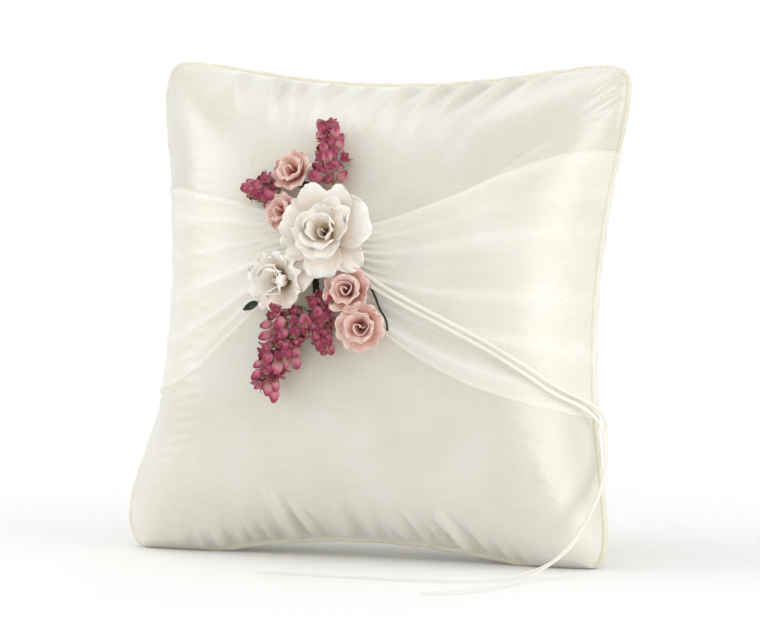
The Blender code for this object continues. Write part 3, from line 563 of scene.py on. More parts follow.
@dataclass
class PillowForm:
    """The filled shape of the pillow, from its unpulled square to the place where it stands."""

    half_side: float = 101.0 * MM
    half_thickness: float = 44.0 * MM
    pull_sides: float = 0.155
    pull_top: float = 0.14
    pull_bottom: float = 0.175
    settled_stretch: float = 0.045
    settled_spread: float = 0.02
    crown_power: float = 0.38
    crown_reach: float = 0.97
    corner_cut: float = 0.064
    lower_corner_cut: float = 0.085
    left_bulge: float = 0.055
    upper_left_bulge: float = 0.02
    edge: float = 1.2 * MM
    lean: float = math.radians(9.0)
    heel: tuple[float, float] = (3.0 * MM, 12.0 * MM)
    steps: int = 216
    bunching: float = 0.88
    bead: float = 1.9 * MM
    gather_reach: float = 0.56
    gather_height: float = 2.6
    rise_in_front: float = 0.1
    bead_room: float = 3.4 * MM
    table_gap: float = 0.15 * MM
    origin: Array = field(default_factory=lambda: np.zeros(3))
    panels: dict[Panel, Array] = field(default_factory=dict)
    dents: tuple[Dent, ...] = (
        Dent(0.68, 0.64, 0.34, 0.09, 40.0, 5.0 * MM),
        Dent(0.45, 0.78, 0.20, 0.12, 10.0, -1.0 * MM),
        Dent(0.50, -0.62, 0.42, 0.12, -52.0, 2.0 * MM),
        Dent(0.74, -0.50, 0.30, 0.10, -62.0, -1.4 * MM),
        Dent(-0.45, -0.45, 0.50, 0.30, 35.0, 1.2 * MM),
        Dent(-0.70, 0.70, 0.25, 0.14, -42.0, -0.8 * MM),
    )
    # Gathers at the bottom and the top seam: place, lean, half width, reach and height, in millimetres.
    gathers: tuple[tuple[float, float, float, float, float], ...] = (
        (-74.0, 0.25, 2.2, 10.0, 1.2), (-66.0, 0.2, 2.0, 8.0, 0.8), (-57.5, 0.35, 2.2, 13.0, 1.3),
        (-49.0, 0.3, 2.2, 9.0, 1.2), (-43.5, 0.3, 2.0, 11.0, 1.3), (-37.0, 0.25, 2.0, 9.0, 1.1),
        (-26.5, 0.4, 2.2, 26.0, 1.8), (-19.0, 0.45, 1.8, 20.0, 1.3), (-5.5, 0.2, 2.8, 20.0, 1.3),
        (4.5, 0.1, 2.4, 16.0, 0.9), (12.5, 0.5, 1.8, 8.0, 0.7), (18.0, 0.15, 2.6, 18.0, 1.2),
        (27.0, 0.45, 2.6, 20.0, 1.0), (34.5, 0.6, 1.9, 16.0, 1.4), (43.0, 0.55, 2.6, 22.0, 1.7),
        (52.0, 0.5, 2.2, 10.0, 0.9), (60.0, 0.4, 2.4, 9.0, 0.6), (68.0, 0.3, 2.4, 7.0, 0.4),
    )
    top_gathers: tuple[tuple[float, float, float, float, float], ...] = (
        (-62.0, -0.2, 2.6, 20.0, 0.75), (-46.0, -0.2, 2.4, 28.0, 1.05),
        (-36.0, -0.1, 2.2, 18.0, 0.75), (-22.0, 0.1, 2.6, 24.0, 0.9), (-8.0, 0.1, 2.4, 16.0, 0.6),
        (10.0, 0.2, 3.0, 24.0, 0.9), (24.0, 0.3, 2.6, 28.0, 1.05), (38.0, 0.4, 2.6, 32.0, 1.35),
        (52.0, 0.5, 2.8, 36.0, 1.35), (64.0, 0.5, 2.4, 20.0, 0.75),
    )

    def shares(self) -> tuple[Array, Array]:
        """Grid of shares from -1 to 1, closer together near the seam: sin(a t) / sin(a)."""
        a = self.bunching * math.pi / 2
        t = np.sin(np.linspace(-1.0, 1.0, self.steps + 1) * a) / math.sin(a)
        return np.meshgrid(t, t, indexing="ij")

    def plan(self, x: Array, z: Array) -> Array:
        """Shares after rounding the corners, drawing the sides in and settling the lower half.

        Args:
            x: Share across.
            z: Share upwards.

        Returns:
            Places in the seam plane, in metres.
        """
        corner = np.abs(x * z)
        cut = 1.0 - np.where(z > 0.0, self.corner_cut * corner ** 7, self.lower_corner_cut * corner ** 6)
        x, z = x * cut, z * cut
        below = np.minimum(z, 0.0) ** 2
        pull_z = self.pull_top + (self.pull_bottom - self.pull_top) * np.minimum(4.0 * below, 1.0)
        pulled_x = x * (1.0 - self.pull_sides * (1.0 - z ** 2)) * (1.0 + self.settled_spread * below)
        pulled_z = z * (1.0 - pull_z * (1.0 - x ** 2)) * (1.0 + self.settled_stretch * below)
        at_left = np.clip(-x, 0.0, 1.0) ** 6
        pulled_x = pulled_x - self.left_bulge * at_left * np.exp(-((z + 0.76) / 0.26) ** 2)
        pulled_x = pulled_x + self.upper_left_bulge * at_left * np.exp(-((z - 0.98) / 0.16) ** 2)
        return np.stack([pulled_x, pulled_z], axis=-1) * self.half_side

    def crown(self, x: Array, z: Array, panel: Panel) -> Array:
        """Height over the seam plane: a blunt dome, with the filling settled over the corners.

        Args:
            x: Share across.
            z: Share upwards.
            panel: The panel.

        Returns:
            Height in metres.
        """
        over = (1.0 - (self.crown_reach * x) ** 2) * (1.0 - (self.crown_reach * z) ** 2)
        height = self.half_thickness * np.clip(over, 0.0, 1.0) ** self.crown_power
        settled = np.exp(-((np.abs(x) - 0.72) / 0.22) ** 2 - ((z + 0.86) / 0.2) ** 2)
        height = height + self.heel[panel is Panel.BACK] * settled
        lower = (1.0 - np.abs(z) ** 7) ** 0.62
        return height * np.sqrt(np.clip(1.0 - x ** 10, 0.0, 1.0)) * np.where(
            z < 0.0, lower, np.sqrt(np.clip(1.0 - z ** 10, 0.0, 1.0)))

    def gathered(self, x: Array, z: Array, panel: Panel) -> Array:
        """Height of the gathers along the bottom and top seams.

        Each is a crisp ridge, exp(-|q|^1.4), with a valley beside it at q = 1.4, where q is the
        distance across the fold in half widths. It rises from the seam and dies away inwards.

        Args:
            x: Share across.
            z: Share upwards.
            panel: The panel.

        Returns:
            Height in metres.
        """
        height = np.zeros_like(x)
        mirror = 1.0 if panel is Panel.FRONT else -1.0
        for folds, rim in ((self.gathers, z + 1.0), (self.top_gathers, 1.0 - z)):
            table = np.array(folds)[:, :, None, None]
            away = rim * self.half_side / MM
            q = (mirror * x * self.half_side / MM - table[:, 0] + table[:, 1] * away) / table[:, 2]
            fade = (1.0 - np.exp(-away / 1.5)) * np.exp(-(away / (self.gather_reach * table[:, 3])) ** 2)
            ridge = np.exp(-np.abs(q) ** 1.4) - 0.75 * np.exp(-np.abs(q - 1.4) ** 1.6)
            height = height + self.gather_height * (table[:, 4] * MM * ridge * fade).sum(axis=0)
        return height

    def shape(self, x: Array, z: Array, panel: Panel) -> Array:
        """Points of a smooth panel in the pillow's own frame.

        Args:
            x: Share across.
            z: Share upwards.
            panel: The panel.

        Returns:
            The grid of points.
        """
        flat = self.plan(x, z)
        height = self.edge + self.crown(x, z, panel)
        return np.stack([flat[..., 0], panel.value * height, flat[..., 1]], axis=-1)

    def wrinkled(self, x: Array, z: Array, panel: Panel) -> Array:
        """Grid of a panel moved along its own normals by its gathers and dents.

        Args:
            x: Share across.
            z: Share upwards.
            panel: The panel.

        Returns:
            The grid of points.
        """
        points = self.shape(x, z, panel)
        normals = grid_normals(points) * -panel.value
        inside = np.clip((1.0 - x ** 2) * (1.0 - z ** 2) * 6.0, 0.0, 1.0)
        height = self.gathered(x, z, panel)
        if panel is Panel.FRONT:
            height = height - inside * sum(dent.at(x, z) for dent in self.dents)
        return points + normals * height[..., None]

    def stand(self, points: Array) -> Array:
        """Lean points of the pillow's own frame back and set them where the pillow stands.

        Args:
            points: Points of the pillow's own frame.

        Returns:
            The standing points.
        """
        cos, sin = math.cos(self.lean), math.sin(self.lean)
        turned = np.stack([points[..., 0], points[..., 1] * cos + points[..., 2] * sin,
                           points[..., 2] * cos - points[..., 1] * sin], axis=-1)
        return turned + self.origin

    def press(self, points: Array, level: float) -> Array:
        """Raise standing points that lie under a level over the table.

        The pillow rests on its seam, so the level clears the piping and climbs in front of it.

        Args:
            points: Standing points.
            level: Lowest height allowed, in metres.

        Returns:
            The points, none of them under the level.
        """
        pressed = points.copy()
        seam = self.origin[1] - self.origin[2] * math.tan(self.lean)
        ahead = np.clip(seam - points[..., 1], 0.0, 40.0 * MM)
        climb = self.rise_in_front * ahead + self.bead_room * smooth_step(ahead / (9.0 * MM))
        pressed[..., 2] = np.maximum(points[..., 2], level + climb)
        return pressed

    def stand_behind(self, node: str, x: float, z: float, lift: float) -> None:
        """Find where the pillow's middle stands, from a CAD node at a known place on its face.

        Args:
            node: The CAD node.
            x: Where its middle is on the face, in millimetres.
            z: The same, upwards.
            lift: Height of its middle over the face.
        """
        low, high = (np.array(corner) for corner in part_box(node))
        self.origin = 0.5 * (low + high) - self.on_face(x, z, lift)[0]
        LOG.info("middle of the pillow at %s mm", np.round(self.origin / MM, 2))

    def build_panels(self) -> None:
        x, z = self.shares()
        raw = {panel: self.wrinkled(x, z, panel) for panel in Panel}
        raw = SettlingCloth().settle(self, raw)
        self.panels = {panel: self.press(self.stand(points), self.table_gap)
                       for panel, points in raw.items()}

    def look_up(self, x: Array, z: Array, panel: Panel) -> tuple[Array, Array]:
        """Point and outward normal of a built panel at shares x and z, by blending grid points.

        Args:
            x: Share across.
            z: Share upwards.
            panel: The panel.

        Returns:
            The points and their normals.
        """
        grid = self.panels[panel]
        normals = grid_normals(grid) * -panel.value
        a = self.bunching * math.pi / 2
        place = []
        for share in (x, z):
            t = np.arcsin(np.clip(share, -1.0, 1.0) * math.sin(a)) / a
            place.append(np.clip((t + 1.0) * self.steps / 2, 0.0, self.steps - 1e-6))
        i, j = np.floor(place[0]).astype(int), np.floor(place[1]).astype(int)
        p, q = (place[0] - i)[..., None], (place[1] - j)[..., None]

        def blend(table: Array) -> Array:
            """Blend the four grid points round each place.

            Args:
                table: One value or vector a grid point.

            Returns:
                The blended values.
            """
            low = table[i, j] * (1 - p) + table[i + 1, j] * p
            high = table[i, j + 1] * (1 - p) + table[i + 1, j + 1] * p
            return low * (1 - q) + high * q

        return blend(grid), unit(blend(normals))

    def on_face(self, x: Array | float, z: Array | float, lift: Array | float) -> tuple[Array, Array]:
        """Point over the unwrinkled front at a place on its face in millimetres, and its normal.

        Args:
            x: Place across in millimetres.
            z: Place upwards in millimetres.
            lift: Height over the face in millimetres.

        Returns:
            The standing points and their normals.
        """
        aim = np.stack(np.broadcast_arrays(np.asarray(x, float), np.asarray(z, float)), axis=-1) * MM
        share = aim / self.half_side
        for _ in range(20):
            share = share + (aim - self.plan(share[..., 0], share[..., 1])) / self.half_side
        step = 0.004
        sx, sz = share[..., 0], share[..., 1]
        points = self.shape(sx, sz, Panel.FRONT)
        right = self.shape(sx + step, sz, Panel.FRONT) - self.shape(sx - step, sz, Panel.FRONT)
        upper = self.shape(sx, sz + step, Panel.FRONT) - self.shape(sx, sz - step, Panel.FRONT)
        normal = unit(np.cross(right, upper))
        points = points + normal * (np.asarray(lift, float) * MM)[..., None]
        return self.stand(points), self.stand(normal) - self.origin

    def seam(self, count: int) -> tuple[Array, Array]:
        """Evenly spaced points round the seam, standing, and the outward direction at each.

        Args:
            count: How many points to give.

        Returns:
            The points and their outward directions.
        """
        t = np.linspace(-1.0, 1.0, 200, endpoint=False)
        one = np.ones_like(t)
        x = np.concatenate([one, -t, -one, t])
        z = np.concatenate([t, one, -t, -one])
        flat = self.plan(x, z)
        loop = np.concatenate([flat, flat[:1]])
        reach = np.concatenate([[0.0], np.cumsum(np.linalg.norm(np.diff(loop, axis=0), axis=1))])
        even = np.linspace(0.0, reach[-1], count, endpoint=False)
        path = np.stack([np.interp(even, reach, loop[:, 0]), 0 * even,
                         np.interp(even, reach, loop[:, 1])], axis=1)
        ahead = np.roll(path, -1, axis=0) - np.roll(path, 1, axis=0)
        out = unit(np.stack([ahead[:, 2], 0 * even, -ahead[:, 0]], axis=1))
        return self.stand(path), self.stand(out) - self.origin


@dataclass
class SettlingCloth:
    """A short cloth run that lets the gathers and dents settle as woven cloth would.

    The panels are simulated ten times life size, because Blender's cloth is tuned for pieces of
    a few metres. Only the fine part of the movement is kept, so the pillow keeps its own form.
    """

    scale: float = 10.0
    frames: int = 10
    ease: float = 1.05
    cap: float = 3.0 * MM
    sides_apart: float = 0.5 * MM
    stuff: dict[str, float] = field(default_factory=lambda: {
        "quality": 6, "mass": 0.01, "tension_stiffness": 20.0, "compression_stiffness": 20.0,
        "shear_stiffness": 5.0, "bending_stiffness": 0.6, "tension_damping": 10.0,
        "compression_damping": 10.0, "use_pressure": True, "uniform_pressure_force": 4.0})

    def settle(self, form: PillowForm, raw: dict[Panel, Array]) -> dict[Panel, Array]:
        """Run the cloth on every second grid point and add its fine movement to the panels.

        Args:
            form: The pillow's form.
            raw: Each panel's grid of points.

        Returns:
            The settled grids.
        """
        x, z = form.shares()
        x, z = x[::2, ::2], z[::2, ::2]
        rows = x.shape[0]
        rim = np.zeros((rows, rows), bool)
        rim[[0, -1]] = True
        rim[:, [0, -1]] = True
        front, back = raw[Panel.FRONT][::2, ::2].copy(), raw[Panel.BACK][::2, ::2].copy()
        middle = 0.5 * (front + back)
        front[rim], back[rim] = middle[rim], middle[rim]
        index = np.arange(rows * rows).reshape(rows, rows)
        other = index.copy()
        other[~rim] = rows * rows + np.arange((~rim).sum())
        start = np.concatenate([front.reshape(-1, 3), back[~rim]]) * self.scale
        cut = 1.0 - form.corner_cut * np.abs(x * z) ** 7
        flat = np.stack([x * cut, 0 * x, z * cut], axis=-1) * form.half_side * self.ease
        apart = np.array([0.0, self.sides_apart, 0.0])
        rest = np.concatenate([(flat - apart).reshape(-1, 3), (flat + apart)[~rim]])
        quads = []
        for table, flip in ((index, False), (other, True)):
            ring = [table[:-1, :-1], table[1:, :-1], table[1:, 1:], table[:-1, 1:]]
            quad = np.stack(ring, axis=-1).reshape(-1, 4)
            quads.append(quad[:, ::-1] if flip else quad)
        mesh = bpy.data.meshes.new("settling_cloth")
        mesh.from_pydata(start.tolist(), [], np.concatenate(quads).tolist())
        body = bpy.data.objects.new("settling_cloth", mesh)
        bpy.context.scene.collection.objects.link(body)
        body.shape_key_add(name="made_up")
        cut_shape = body.shape_key_add(name="cut")
        cut_shape.data.foreach_set("co", (rest * self.scale).ravel().astype(np.float32))
        seam = body.vertex_groups.new(name="seam")
        seam.add(index[rim].tolist(), 1.0, "REPLACE")
        cloth = body.modifiers.new("cloth", "CLOTH")
        cloth.settings.rest_shape_key = cut_shape
        cloth.settings.vertex_group_mass = "seam"
        for name, value in self.stuff.items():
            setattr(cloth.settings, name, value)
        cloth.settings.effector_weights.gravity = 0.0
        scene = bpy.context.scene
        scene.frame_start, scene.frame_end = 1, self.frames
        cloth.point_cache.frame_end = self.frames
        for number in range(1, self.frames + 1):
            scene.frame_set(number)
        settled = body.evaluated_get(bpy.context.evaluated_depsgraph_get()).data
        points = np.zeros(len(start) * 3, np.float32)
        settled.vertices.foreach_get("co", points)
        moved = (points.reshape(-1, 3) - start) / self.scale
        bpy.data.objects.remove(body, do_unlink=True)
        bpy.data.meshes.remove(mesh)
        scene.frame_set(1)
        count = rows * rows
        front_move = moved[:count].reshape(rows, rows, 3)
        back_move = np.zeros_like(front_move)
        back_move[~rim] = moved[count:]
        result = {}
        for panel, move in ((Panel.FRONT, front_move), (Panel.BACK, back_move)):
            fine = self.fine_part(move)
            size = np.linalg.norm(fine, axis=-1, keepdims=True)
            fine = fine * np.minimum(1.0, self.cap / np.maximum(size, 1e-9))
            result[panel] = raw[panel] + self.twice_as_fine(fine)
        LOG.info("cloth settled: fine movement up to %.2f mm", np.abs(fine).max() / MM)
        return result

    @staticmethod
    def fine_part(move: Array) -> Array:
        """A movement less its own mean over about nine neighbours each way.

        Args:
            move: Grid of movements.

        Returns:
            What is left of them.
        """
        soft, count = move, len(move)
        for axis in (0, 1) * 5:
            edges = [(2, 2) if axis == k else (0, 0) for k in range(3)]
            wide = np.moveaxis(np.pad(soft, edges, mode="edge"), axis, 0)
            soft = np.moveaxis(sum(wide[k:k + count] for k in range(5)) / 5, 0, axis)
        return move - soft

    @staticmethod
    def twice_as_fine(table: Array) -> Array:
        """A grid with a point added between each pair, by the cubic rule (-1, 9, 9, -1) / 16.

        Args:
            table: The grid.

        Returns:
            The finer grid.
        """
        for axis in (0, 1):
            table = np.moveaxis(table, axis, 0)
            wide = np.concatenate([table[:1], table, table[-1:]])
            between = (9 * (wide[1:-2] + wide[2:-1]) - wide[:-3] - wide[3:]) / 16
            woven = np.zeros((2 * len(table) - 1,) + table.shape[1:])
            woven[0::2], woven[1::2] = table, between
            table = np.moveaxis(woven, 0, axis)
        return table


# ---------------------------------------------------------------- sub-assemblies


def declare(piece: bpy.types.Object, slot: str, *nodes: str) -> bpy.types.Object:
    """Hide the CAD nodes that a piece stands for and make it ride the pillow's one body.

    Args:
        piece: The visual piece.
        slot: Name of its finish; not used.
        nodes: The CAD nodes that it replaces.

    Returns:
        The same piece.
    """
    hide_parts(*nodes)
    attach(piece, "root")
    return piece


@dataclass
class SatinCushion:
    """The two satin panels over their filling, and the piping round the seam."""

    form: PillowForm
    satin: bpy.types.Material
    bias: bpy.types.Material
    piping_radius: float = 1.55 * MM
    seat: float = 0.35 * MM
    waver: float = 0.16 * MM
    piping_points: int = 420
    fill: float = 0.8

    def build(self) -> list[bpy.types.Object]:
        """Build the cushion and its piping."""
        grids = self.form.panels
        back = Patch(grids[Panel.BACK], flip=True)
        body = mesh_object("satin_cushion", [Patch(grids[Panel.FRONT]), back], self.satin)
        self.close_seam(body)
        declare(body, "ivory_satin", "front_cover", "back_cover", "fibre_filling")

        path, out = self.form.seam(self.piping_points)
        step = np.arange(self.piping_points)
        wave = self.waver * np.sin(step * 0.9) * np.sin(step * 0.23)
        path = self.form.press(path + out * (self.seat + wave)[:, None], self.piping_radius)
        bead = closed_loop(path, out, round_section(self.piping_radius, 12))
        piping = mesh_object("seam_piping", [Patch(bead, close_rows=True, close_columns=True)], self.bias)
        return [body, declare(piping, "ivory_bias_satin", "piping_sleeve", "piping_cord")]

    @staticmethod
    def close_seam(body: bpy.types.Object) -> None:
        """Join the rims of the two panels with a narrow strip of faces.

        Args:
            body: The piece that holds both panels.
        """
        shape = bmesh.new()
        shape.from_mesh(body.data)
        bmesh.ops.bridge_loops(shape, edges=[edge for edge in shape.edges if edge.is_boundary])
        bmesh.ops.recalc_face_normals(shape, faces=shape.faces)
        shape.to_mesh(body.data)
        shape.free()
        body.data.shade_smooth()


@dataclass
class OrganzaSash:
    """The sheer sash: fanned at the sides, gathered in front and flat across the back."""

    form: PillowForm
    organza: bpy.types.Material
    neck_x: float = -0.08
    neck: tuple[float, float] = (0.12, 0.31)
    left: tuple[float, float] = (-0.34, 0.455)
    right: tuple[float, float] = (-0.38, 0.63)
    lift: float = 0.9 * MM
    thickness: float = 0.16 * MM
    across: int = 81
    stations: int = 88
    flat: tuple[float, float] = (0.095, 0.43)
    # Folds: share across, half width in shares and height in millimetres.
    right_folds: tuple[tuple[float, float, float], ...] = (
        (0.0, 0.03, 0.7), (0.075, 0.05, 1.5), (0.235, 0.03, 1.3), (0.27, 0.012, 0.4), (0.43, 0.035, 0.9),
        (0.56, 0.02, 0.3), (0.69, 0.045, 0.9), (0.84, 0.03, 0.35), (0.975, 0.03, 0.8),
    )
    left_folds: tuple[tuple[float, float, float], ...] = (
        (0.0, 0.03, 0.6), (0.1, 0.04, 0.6), (0.24, 0.04, 0.9), (0.46, 0.05, 1.0), (0.66, 0.035, 0.7),
        (0.84, 0.05, 1.0), (0.97, 0.035, 0.8),
    )

    def edges(self, x: Array) -> tuple[Array, Array]:
        """Lower and upper edge of the band on the front at share x.

        Args:
            x: Share across.

        Returns:
            Shares upwards of the lower and the upper edge.
        """
        right = np.clip((x - self.neck_x) / (1.0 - self.neck_x), 0.0, 1.0)
        left = np.clip((self.neck_x - x) / (1.0 + self.neck_x), 0.0, 1.0)
        lower = self.neck[0] + (self.right[0] - self.neck[0]) * (1.0 - (1.0 - right) ** 2.2)
        lower = lower + (self.left[0] - self.neck[0]) * smooth_step(1.15 * left)
        upper = self.neck[1] + (self.right[1] - self.neck[1]) * smooth_step(right)
        upper = upper + (self.left[1] - self.neck[1]) * (1.0 - (1.0 - left) ** 2)
        return lower, upper

    def folds(self, t: Array, table: tuple[tuple[float, float, float], ...]) -> Array:
        """Height of the folds in millimetres: a sum of rounded ridges, each leaning over a little.

        Args:
            t: Share across the band.
            table: The folds.

        Returns:
            Height in millimetres.
        """
        rows = np.array(table)[:, :, None, None]
        q = (t - rows[:, 0]) / rows[:, 1]
        return (rows[:, 2] * np.exp(-np.abs(q + 0.25 * np.tanh(q)) ** 1.6)).sum(axis=0)

    def panel_rows(self, x: Array, panel: Panel) -> tuple[Array, Array]:
        """Rows of points over one panel, and how far each is folded.

        Args:
            x: Share across of each row.
            panel: The panel.

        Returns:
            The rows of points and the share that is folded.
        """
        t = np.linspace(0.0, 1.0, self.across)[None, :]
        x = x[:, None] + 0.0 * t
        if panel is Panel.FRONT:
            lower, upper = self.edges(x)
        else:
            mix = 0.5 * (x + 1.0)
            lower = self.left[0] + (self.right[0] - self.left[0]) * mix
            upper = self.left[1] + (self.right[1] - self.left[1]) * mix
        z = lower + (upper - lower) * t
        side = smooth_step((x - self.neck_x + 0.15) / 0.3)
        high = self.folds(t, self.right_folds) * side + self.folds(t, self.left_folds) * (1.0 - side)
        near = np.exp(-((x - self.neck_x) / 0.26) ** 2) if panel is Panel.FRONT else 0.0 * x
        if panel is Panel.BACK:
            high = high * (0.3 + 0.7 * np.abs(x) ** 3)
        bunch = 0.5 + 0.5 * np.cos(2 * math.pi * (13 * t + 0.4 * np.sin(9 * x)))
        calm = 1.0 - 0.8 * np.abs(x) ** 10
        height = self.lift + (high * calm * (1.0 - 0.5 * near) + 1.7 * near * bunch) * MM
        crease = np.zeros_like(x)
        for foot, tip, reach in ((0.95, 0.80, 0.42), (0.62, 0.60, 0.36), (0.3, 0.36, 0.5), (0.1, 0.14, 0.4)):
            run = np.clip((x - self.neck_x) / reach, 0.0, 1.0)
            line = foot + (tip - foot) * run
            crease = crease + np.exp(-((t - line) / 0.022) ** 2) * (1.0 - run) * (x > self.neck_x)
        if panel is Panel.BACK:
            crease = 0.0 * crease
        height = height + 1.3 * MM * crease
        points, normals = self.form.look_up(x, z, panel)
        folded = 0.42 * high * (1.0 - 0.6 * np.abs(x) ** 5) + 0.7 * near + 0.6 * crease
        folded = np.clip(folded + 0.2 * (np.abs(t - 0.5) > 0.488), 0.0, 1.0)
        return points + normals * height[..., None], folded

    def edge_rows(self, sign: float, span: tuple[float, float], turns: tuple[float, ...]) -> Array:
        """Rows that carry the band round the piping at one side.

        Args:
            sign: 1 for the right side, -1 for the left.
            span: Shares upwards of the band's two edges.
            turns: Angle round the piping of each row, in radians.

        Returns:
            The rows of points.
        """
        t = np.linspace(0.0, 1.0, self.across)
        z = span[0] + (span[1] - span[0]) * t
        seam = self.form.plan(np.full_like(z, sign), z)
        reach = self.form.bead + 0.7 * MM
        rows = []
        for turn in turns:
            x = seam[:, 0] + sign * reach * math.cos(turn)
            rows.append(np.stack([x, np.full_like(z, 0.8 * reach * math.sin(turn)), seam[:, 1]], axis=1))
        return self.form.stand(np.stack(rows))

    def build(self) -> list[bpy.types.Object]:
        """Build the band as one loop round the pillow."""
        spread = np.sin(np.linspace(-1.0, 1.0, self.stations) * 1.36) / math.sin(1.36) * 0.985
        turns = tuple(math.radians(a) for a in (-70.0, -35.0, 0.0, 35.0, 70.0))
        front, front_fold = self.panel_rows(spread, Panel.FRONT)
        back, back_fold = self.panel_rows(spread[::-1], Panel.BACK)
        right = self.edge_rows(1.0, self.right, turns)
        left = self.edge_rows(-1.0, self.left, turns[::-1])
        points = np.concatenate([front, right, back, left])
        folded = np.concatenate([front_fold, np.repeat(front_fold[-1:], 5, 0), back_fold,
                                 np.repeat(front_fold[:1], 5, 0)])
        band = mesh_object("organza_sash_band", [Patch(points, close_rows=True, depth=folded)], self.organza)
        thicken(band, self.thickness)
        band.visible_shadow = False
        declare(band, "ivory_organza", "organza_sash")
        return [band]


@dataclass
class RingRibbons:
    """Two narrow satin ribbons and the knot that they hang from."""

    form: PillowForm
    satin: bpy.types.Material
    width: float = 1.45 * MM
    thickness: float = 0.3 * MM
    diameter: float = 2.0 * MM
    points: int = 260
    knot: tuple[float, float, float] = (3.6, 12.6, 5.0)
    routes: dict[str, tuple[tuple[float, float, float], ...]] = field(default_factory=lambda: {
        "ring_ribbon_1": (
            (5.9, -42.2, 111.4), (18.1, -42.8, 104.6), (28.4, -42.6, 99.3), (38.5, -41.7, 94.4),
            (46.7, -40.5, 90.2), (54.7, -38.7, 85.9), (61.4, -36.6, 81.8), (67.8, -33.9, 77.4),
            (73.4, -30.5, 73.1), (78.4, -26.3, 68.7), (82.9, -21.3, 65.2), (86.6, -15.5, 62.4),
            (90.0, -10.4, 58.8), (92.4, -6.6, 54.2), (93.7, -5.9, 49.2), (94.9, -8.3, 43.5),
            (96.2, -12.1, 38.5), (96.8, -17.1, 34.0), (96.8, -22.6, 29.0), (95.8, -28.1, 23.5),
            (94.3, -33.0, 18.5), (91.2, -37.0, 12.5), (87.4, -40.7, 8.0), (83.6, -44.0, 4.8),
            (80.2, -49.0, 2.5), (77.8, -57.0, 1.3), (76.0, -68.0, 1.15), (72.0, -82.0, 1.15),
            (64.5, -93.0, 1.15), (54.0, -100.0, 1.15)),
        "ring_ribbon_2": (
            (7.0, -41.7, 113.5), (19.2, -42.4, 106.7), (29.4, -42.1, 101.5), (39.6, -41.2, 96.5),
            (47.8, -39.9, 92.3), (55.9, -38.0, 88.0), (62.7, -35.8, 83.7), (69.3, -32.6, 79.2),
            (75.0, -28.8, 74.8), (80.0, -24.1, 70.4), (84.2, -18.5, 66.9), (87.9, -11.9, 63.9),
            (91.2, -6.0, 60.2), (92.8, -2.4, 55.7), (93.1, -1.6, 50.2), (93.9, -4.4, 43.5),
            (95.1, -8.4, 38.5), (95.6, -13.4, 34.0), (95.6, -19.0, 29.0), (94.6, -24.4, 23.5),
            (93.1, -29.5, 18.5), (90.1, -33.5, 12.5), (86.2, -37.0, 8.0), (81.8, -40.0, 4.8),
            (76.6, -43.5, 2.5), (71.0, -49.5, 1.3), (65.0, -57.0, 1.15), (55.5, -63.0, 1.15),
            (34.0, -66.5, 1.15), (8.0, -65.5, 1.15), (-10.0, -64.5, 1.15), (-24.0, -66.5, 1.15)),
    })

    def build(self) -> list[bpy.types.Object]:
        """Build both ribbons and the knot."""
        pieces = []
        for name, route in self.routes.items():
            path = smooth_path(np.array(route) * MM, self.points)
            share = np.linspace(0.0, 1.0, self.points)[:, None]
            face = np.array([0.25, -0.9, 0.45])
            out, up = np.array([0.75, -0.55, 0.2]), np.array([0.05, -0.1, 1.0])
            on_table = smooth_step((0.02 - path[:, 2:]) / 0.016)
            beside = smooth_step((path[:, :1] - 0.07) / 0.02) * (1.0 - on_table)
            facing = unit(face * (1 - beside) * (1 - on_table) + out * beside + up * on_table)
            turn = 0.5 * np.sin(share * 23.0 + len(route)) * (1.0 - on_table)
            facing = unit(facing + turn * np.array([0.5, 0.2, -0.4]))
            half, thin = self.width / 2, self.thickness / 2
            section = np.array([(-1.0, 0.0), (-0.92, -1.0), (-0.3, -1.15), (0.3, -1.15), (0.92, -1.0),
                                (1.0, 0.0), (0.92, 1.0), (0.3, 1.15), (-0.3, 1.15), (-0.92, 1.0)])
            section = section * (half, thin)
            strip = carry_section(path, facing, section)
            piece = mesh_object(name + "_satin", [Patch(strip, close_columns=True)], self.satin)
            pieces.append(declare(piece, "ivory_ribbon_satin", name))
        return pieces + [self.tie_knot()]

    def tie_knot(self) -> bpy.types.Object:
        """Two crossed loops of ribbon drawn tight: a closed path that winds twice round a small core."""
        turn = np.linspace(0.0, 2 * math.pi, 72, endpoint=False)
        ring = (1.15 + 0.35 * np.cos(3 * turn)) * MM
        local = np.stack([ring * np.cos(2 * turn), ring * np.sin(2 * turn),
                          0.55 * MM * np.sin(3 * turn)], axis=1)
        place, normal = self.form.on_face(self.knot[0], self.knot[1], self.knot[2])
        across = unit(np.cross(np.array([0.0, 0.0, 1.0]), -normal))
        rise = np.cross(-normal, across)
        path = place + local[:, :1] * across + local[:, 1:2] * rise + local[:, 2:] * normal
        bead = closed_loop(path, unit(path - place), round_section(0.62 * MM, 8, 0.8))
        knot = mesh_object("ribbon_knot_loops", [Patch(bead, close_rows=True, close_columns=True)],
                           self.satin)
        return declare(knot, "ivory_ribbon_satin", "ribbon_knot")


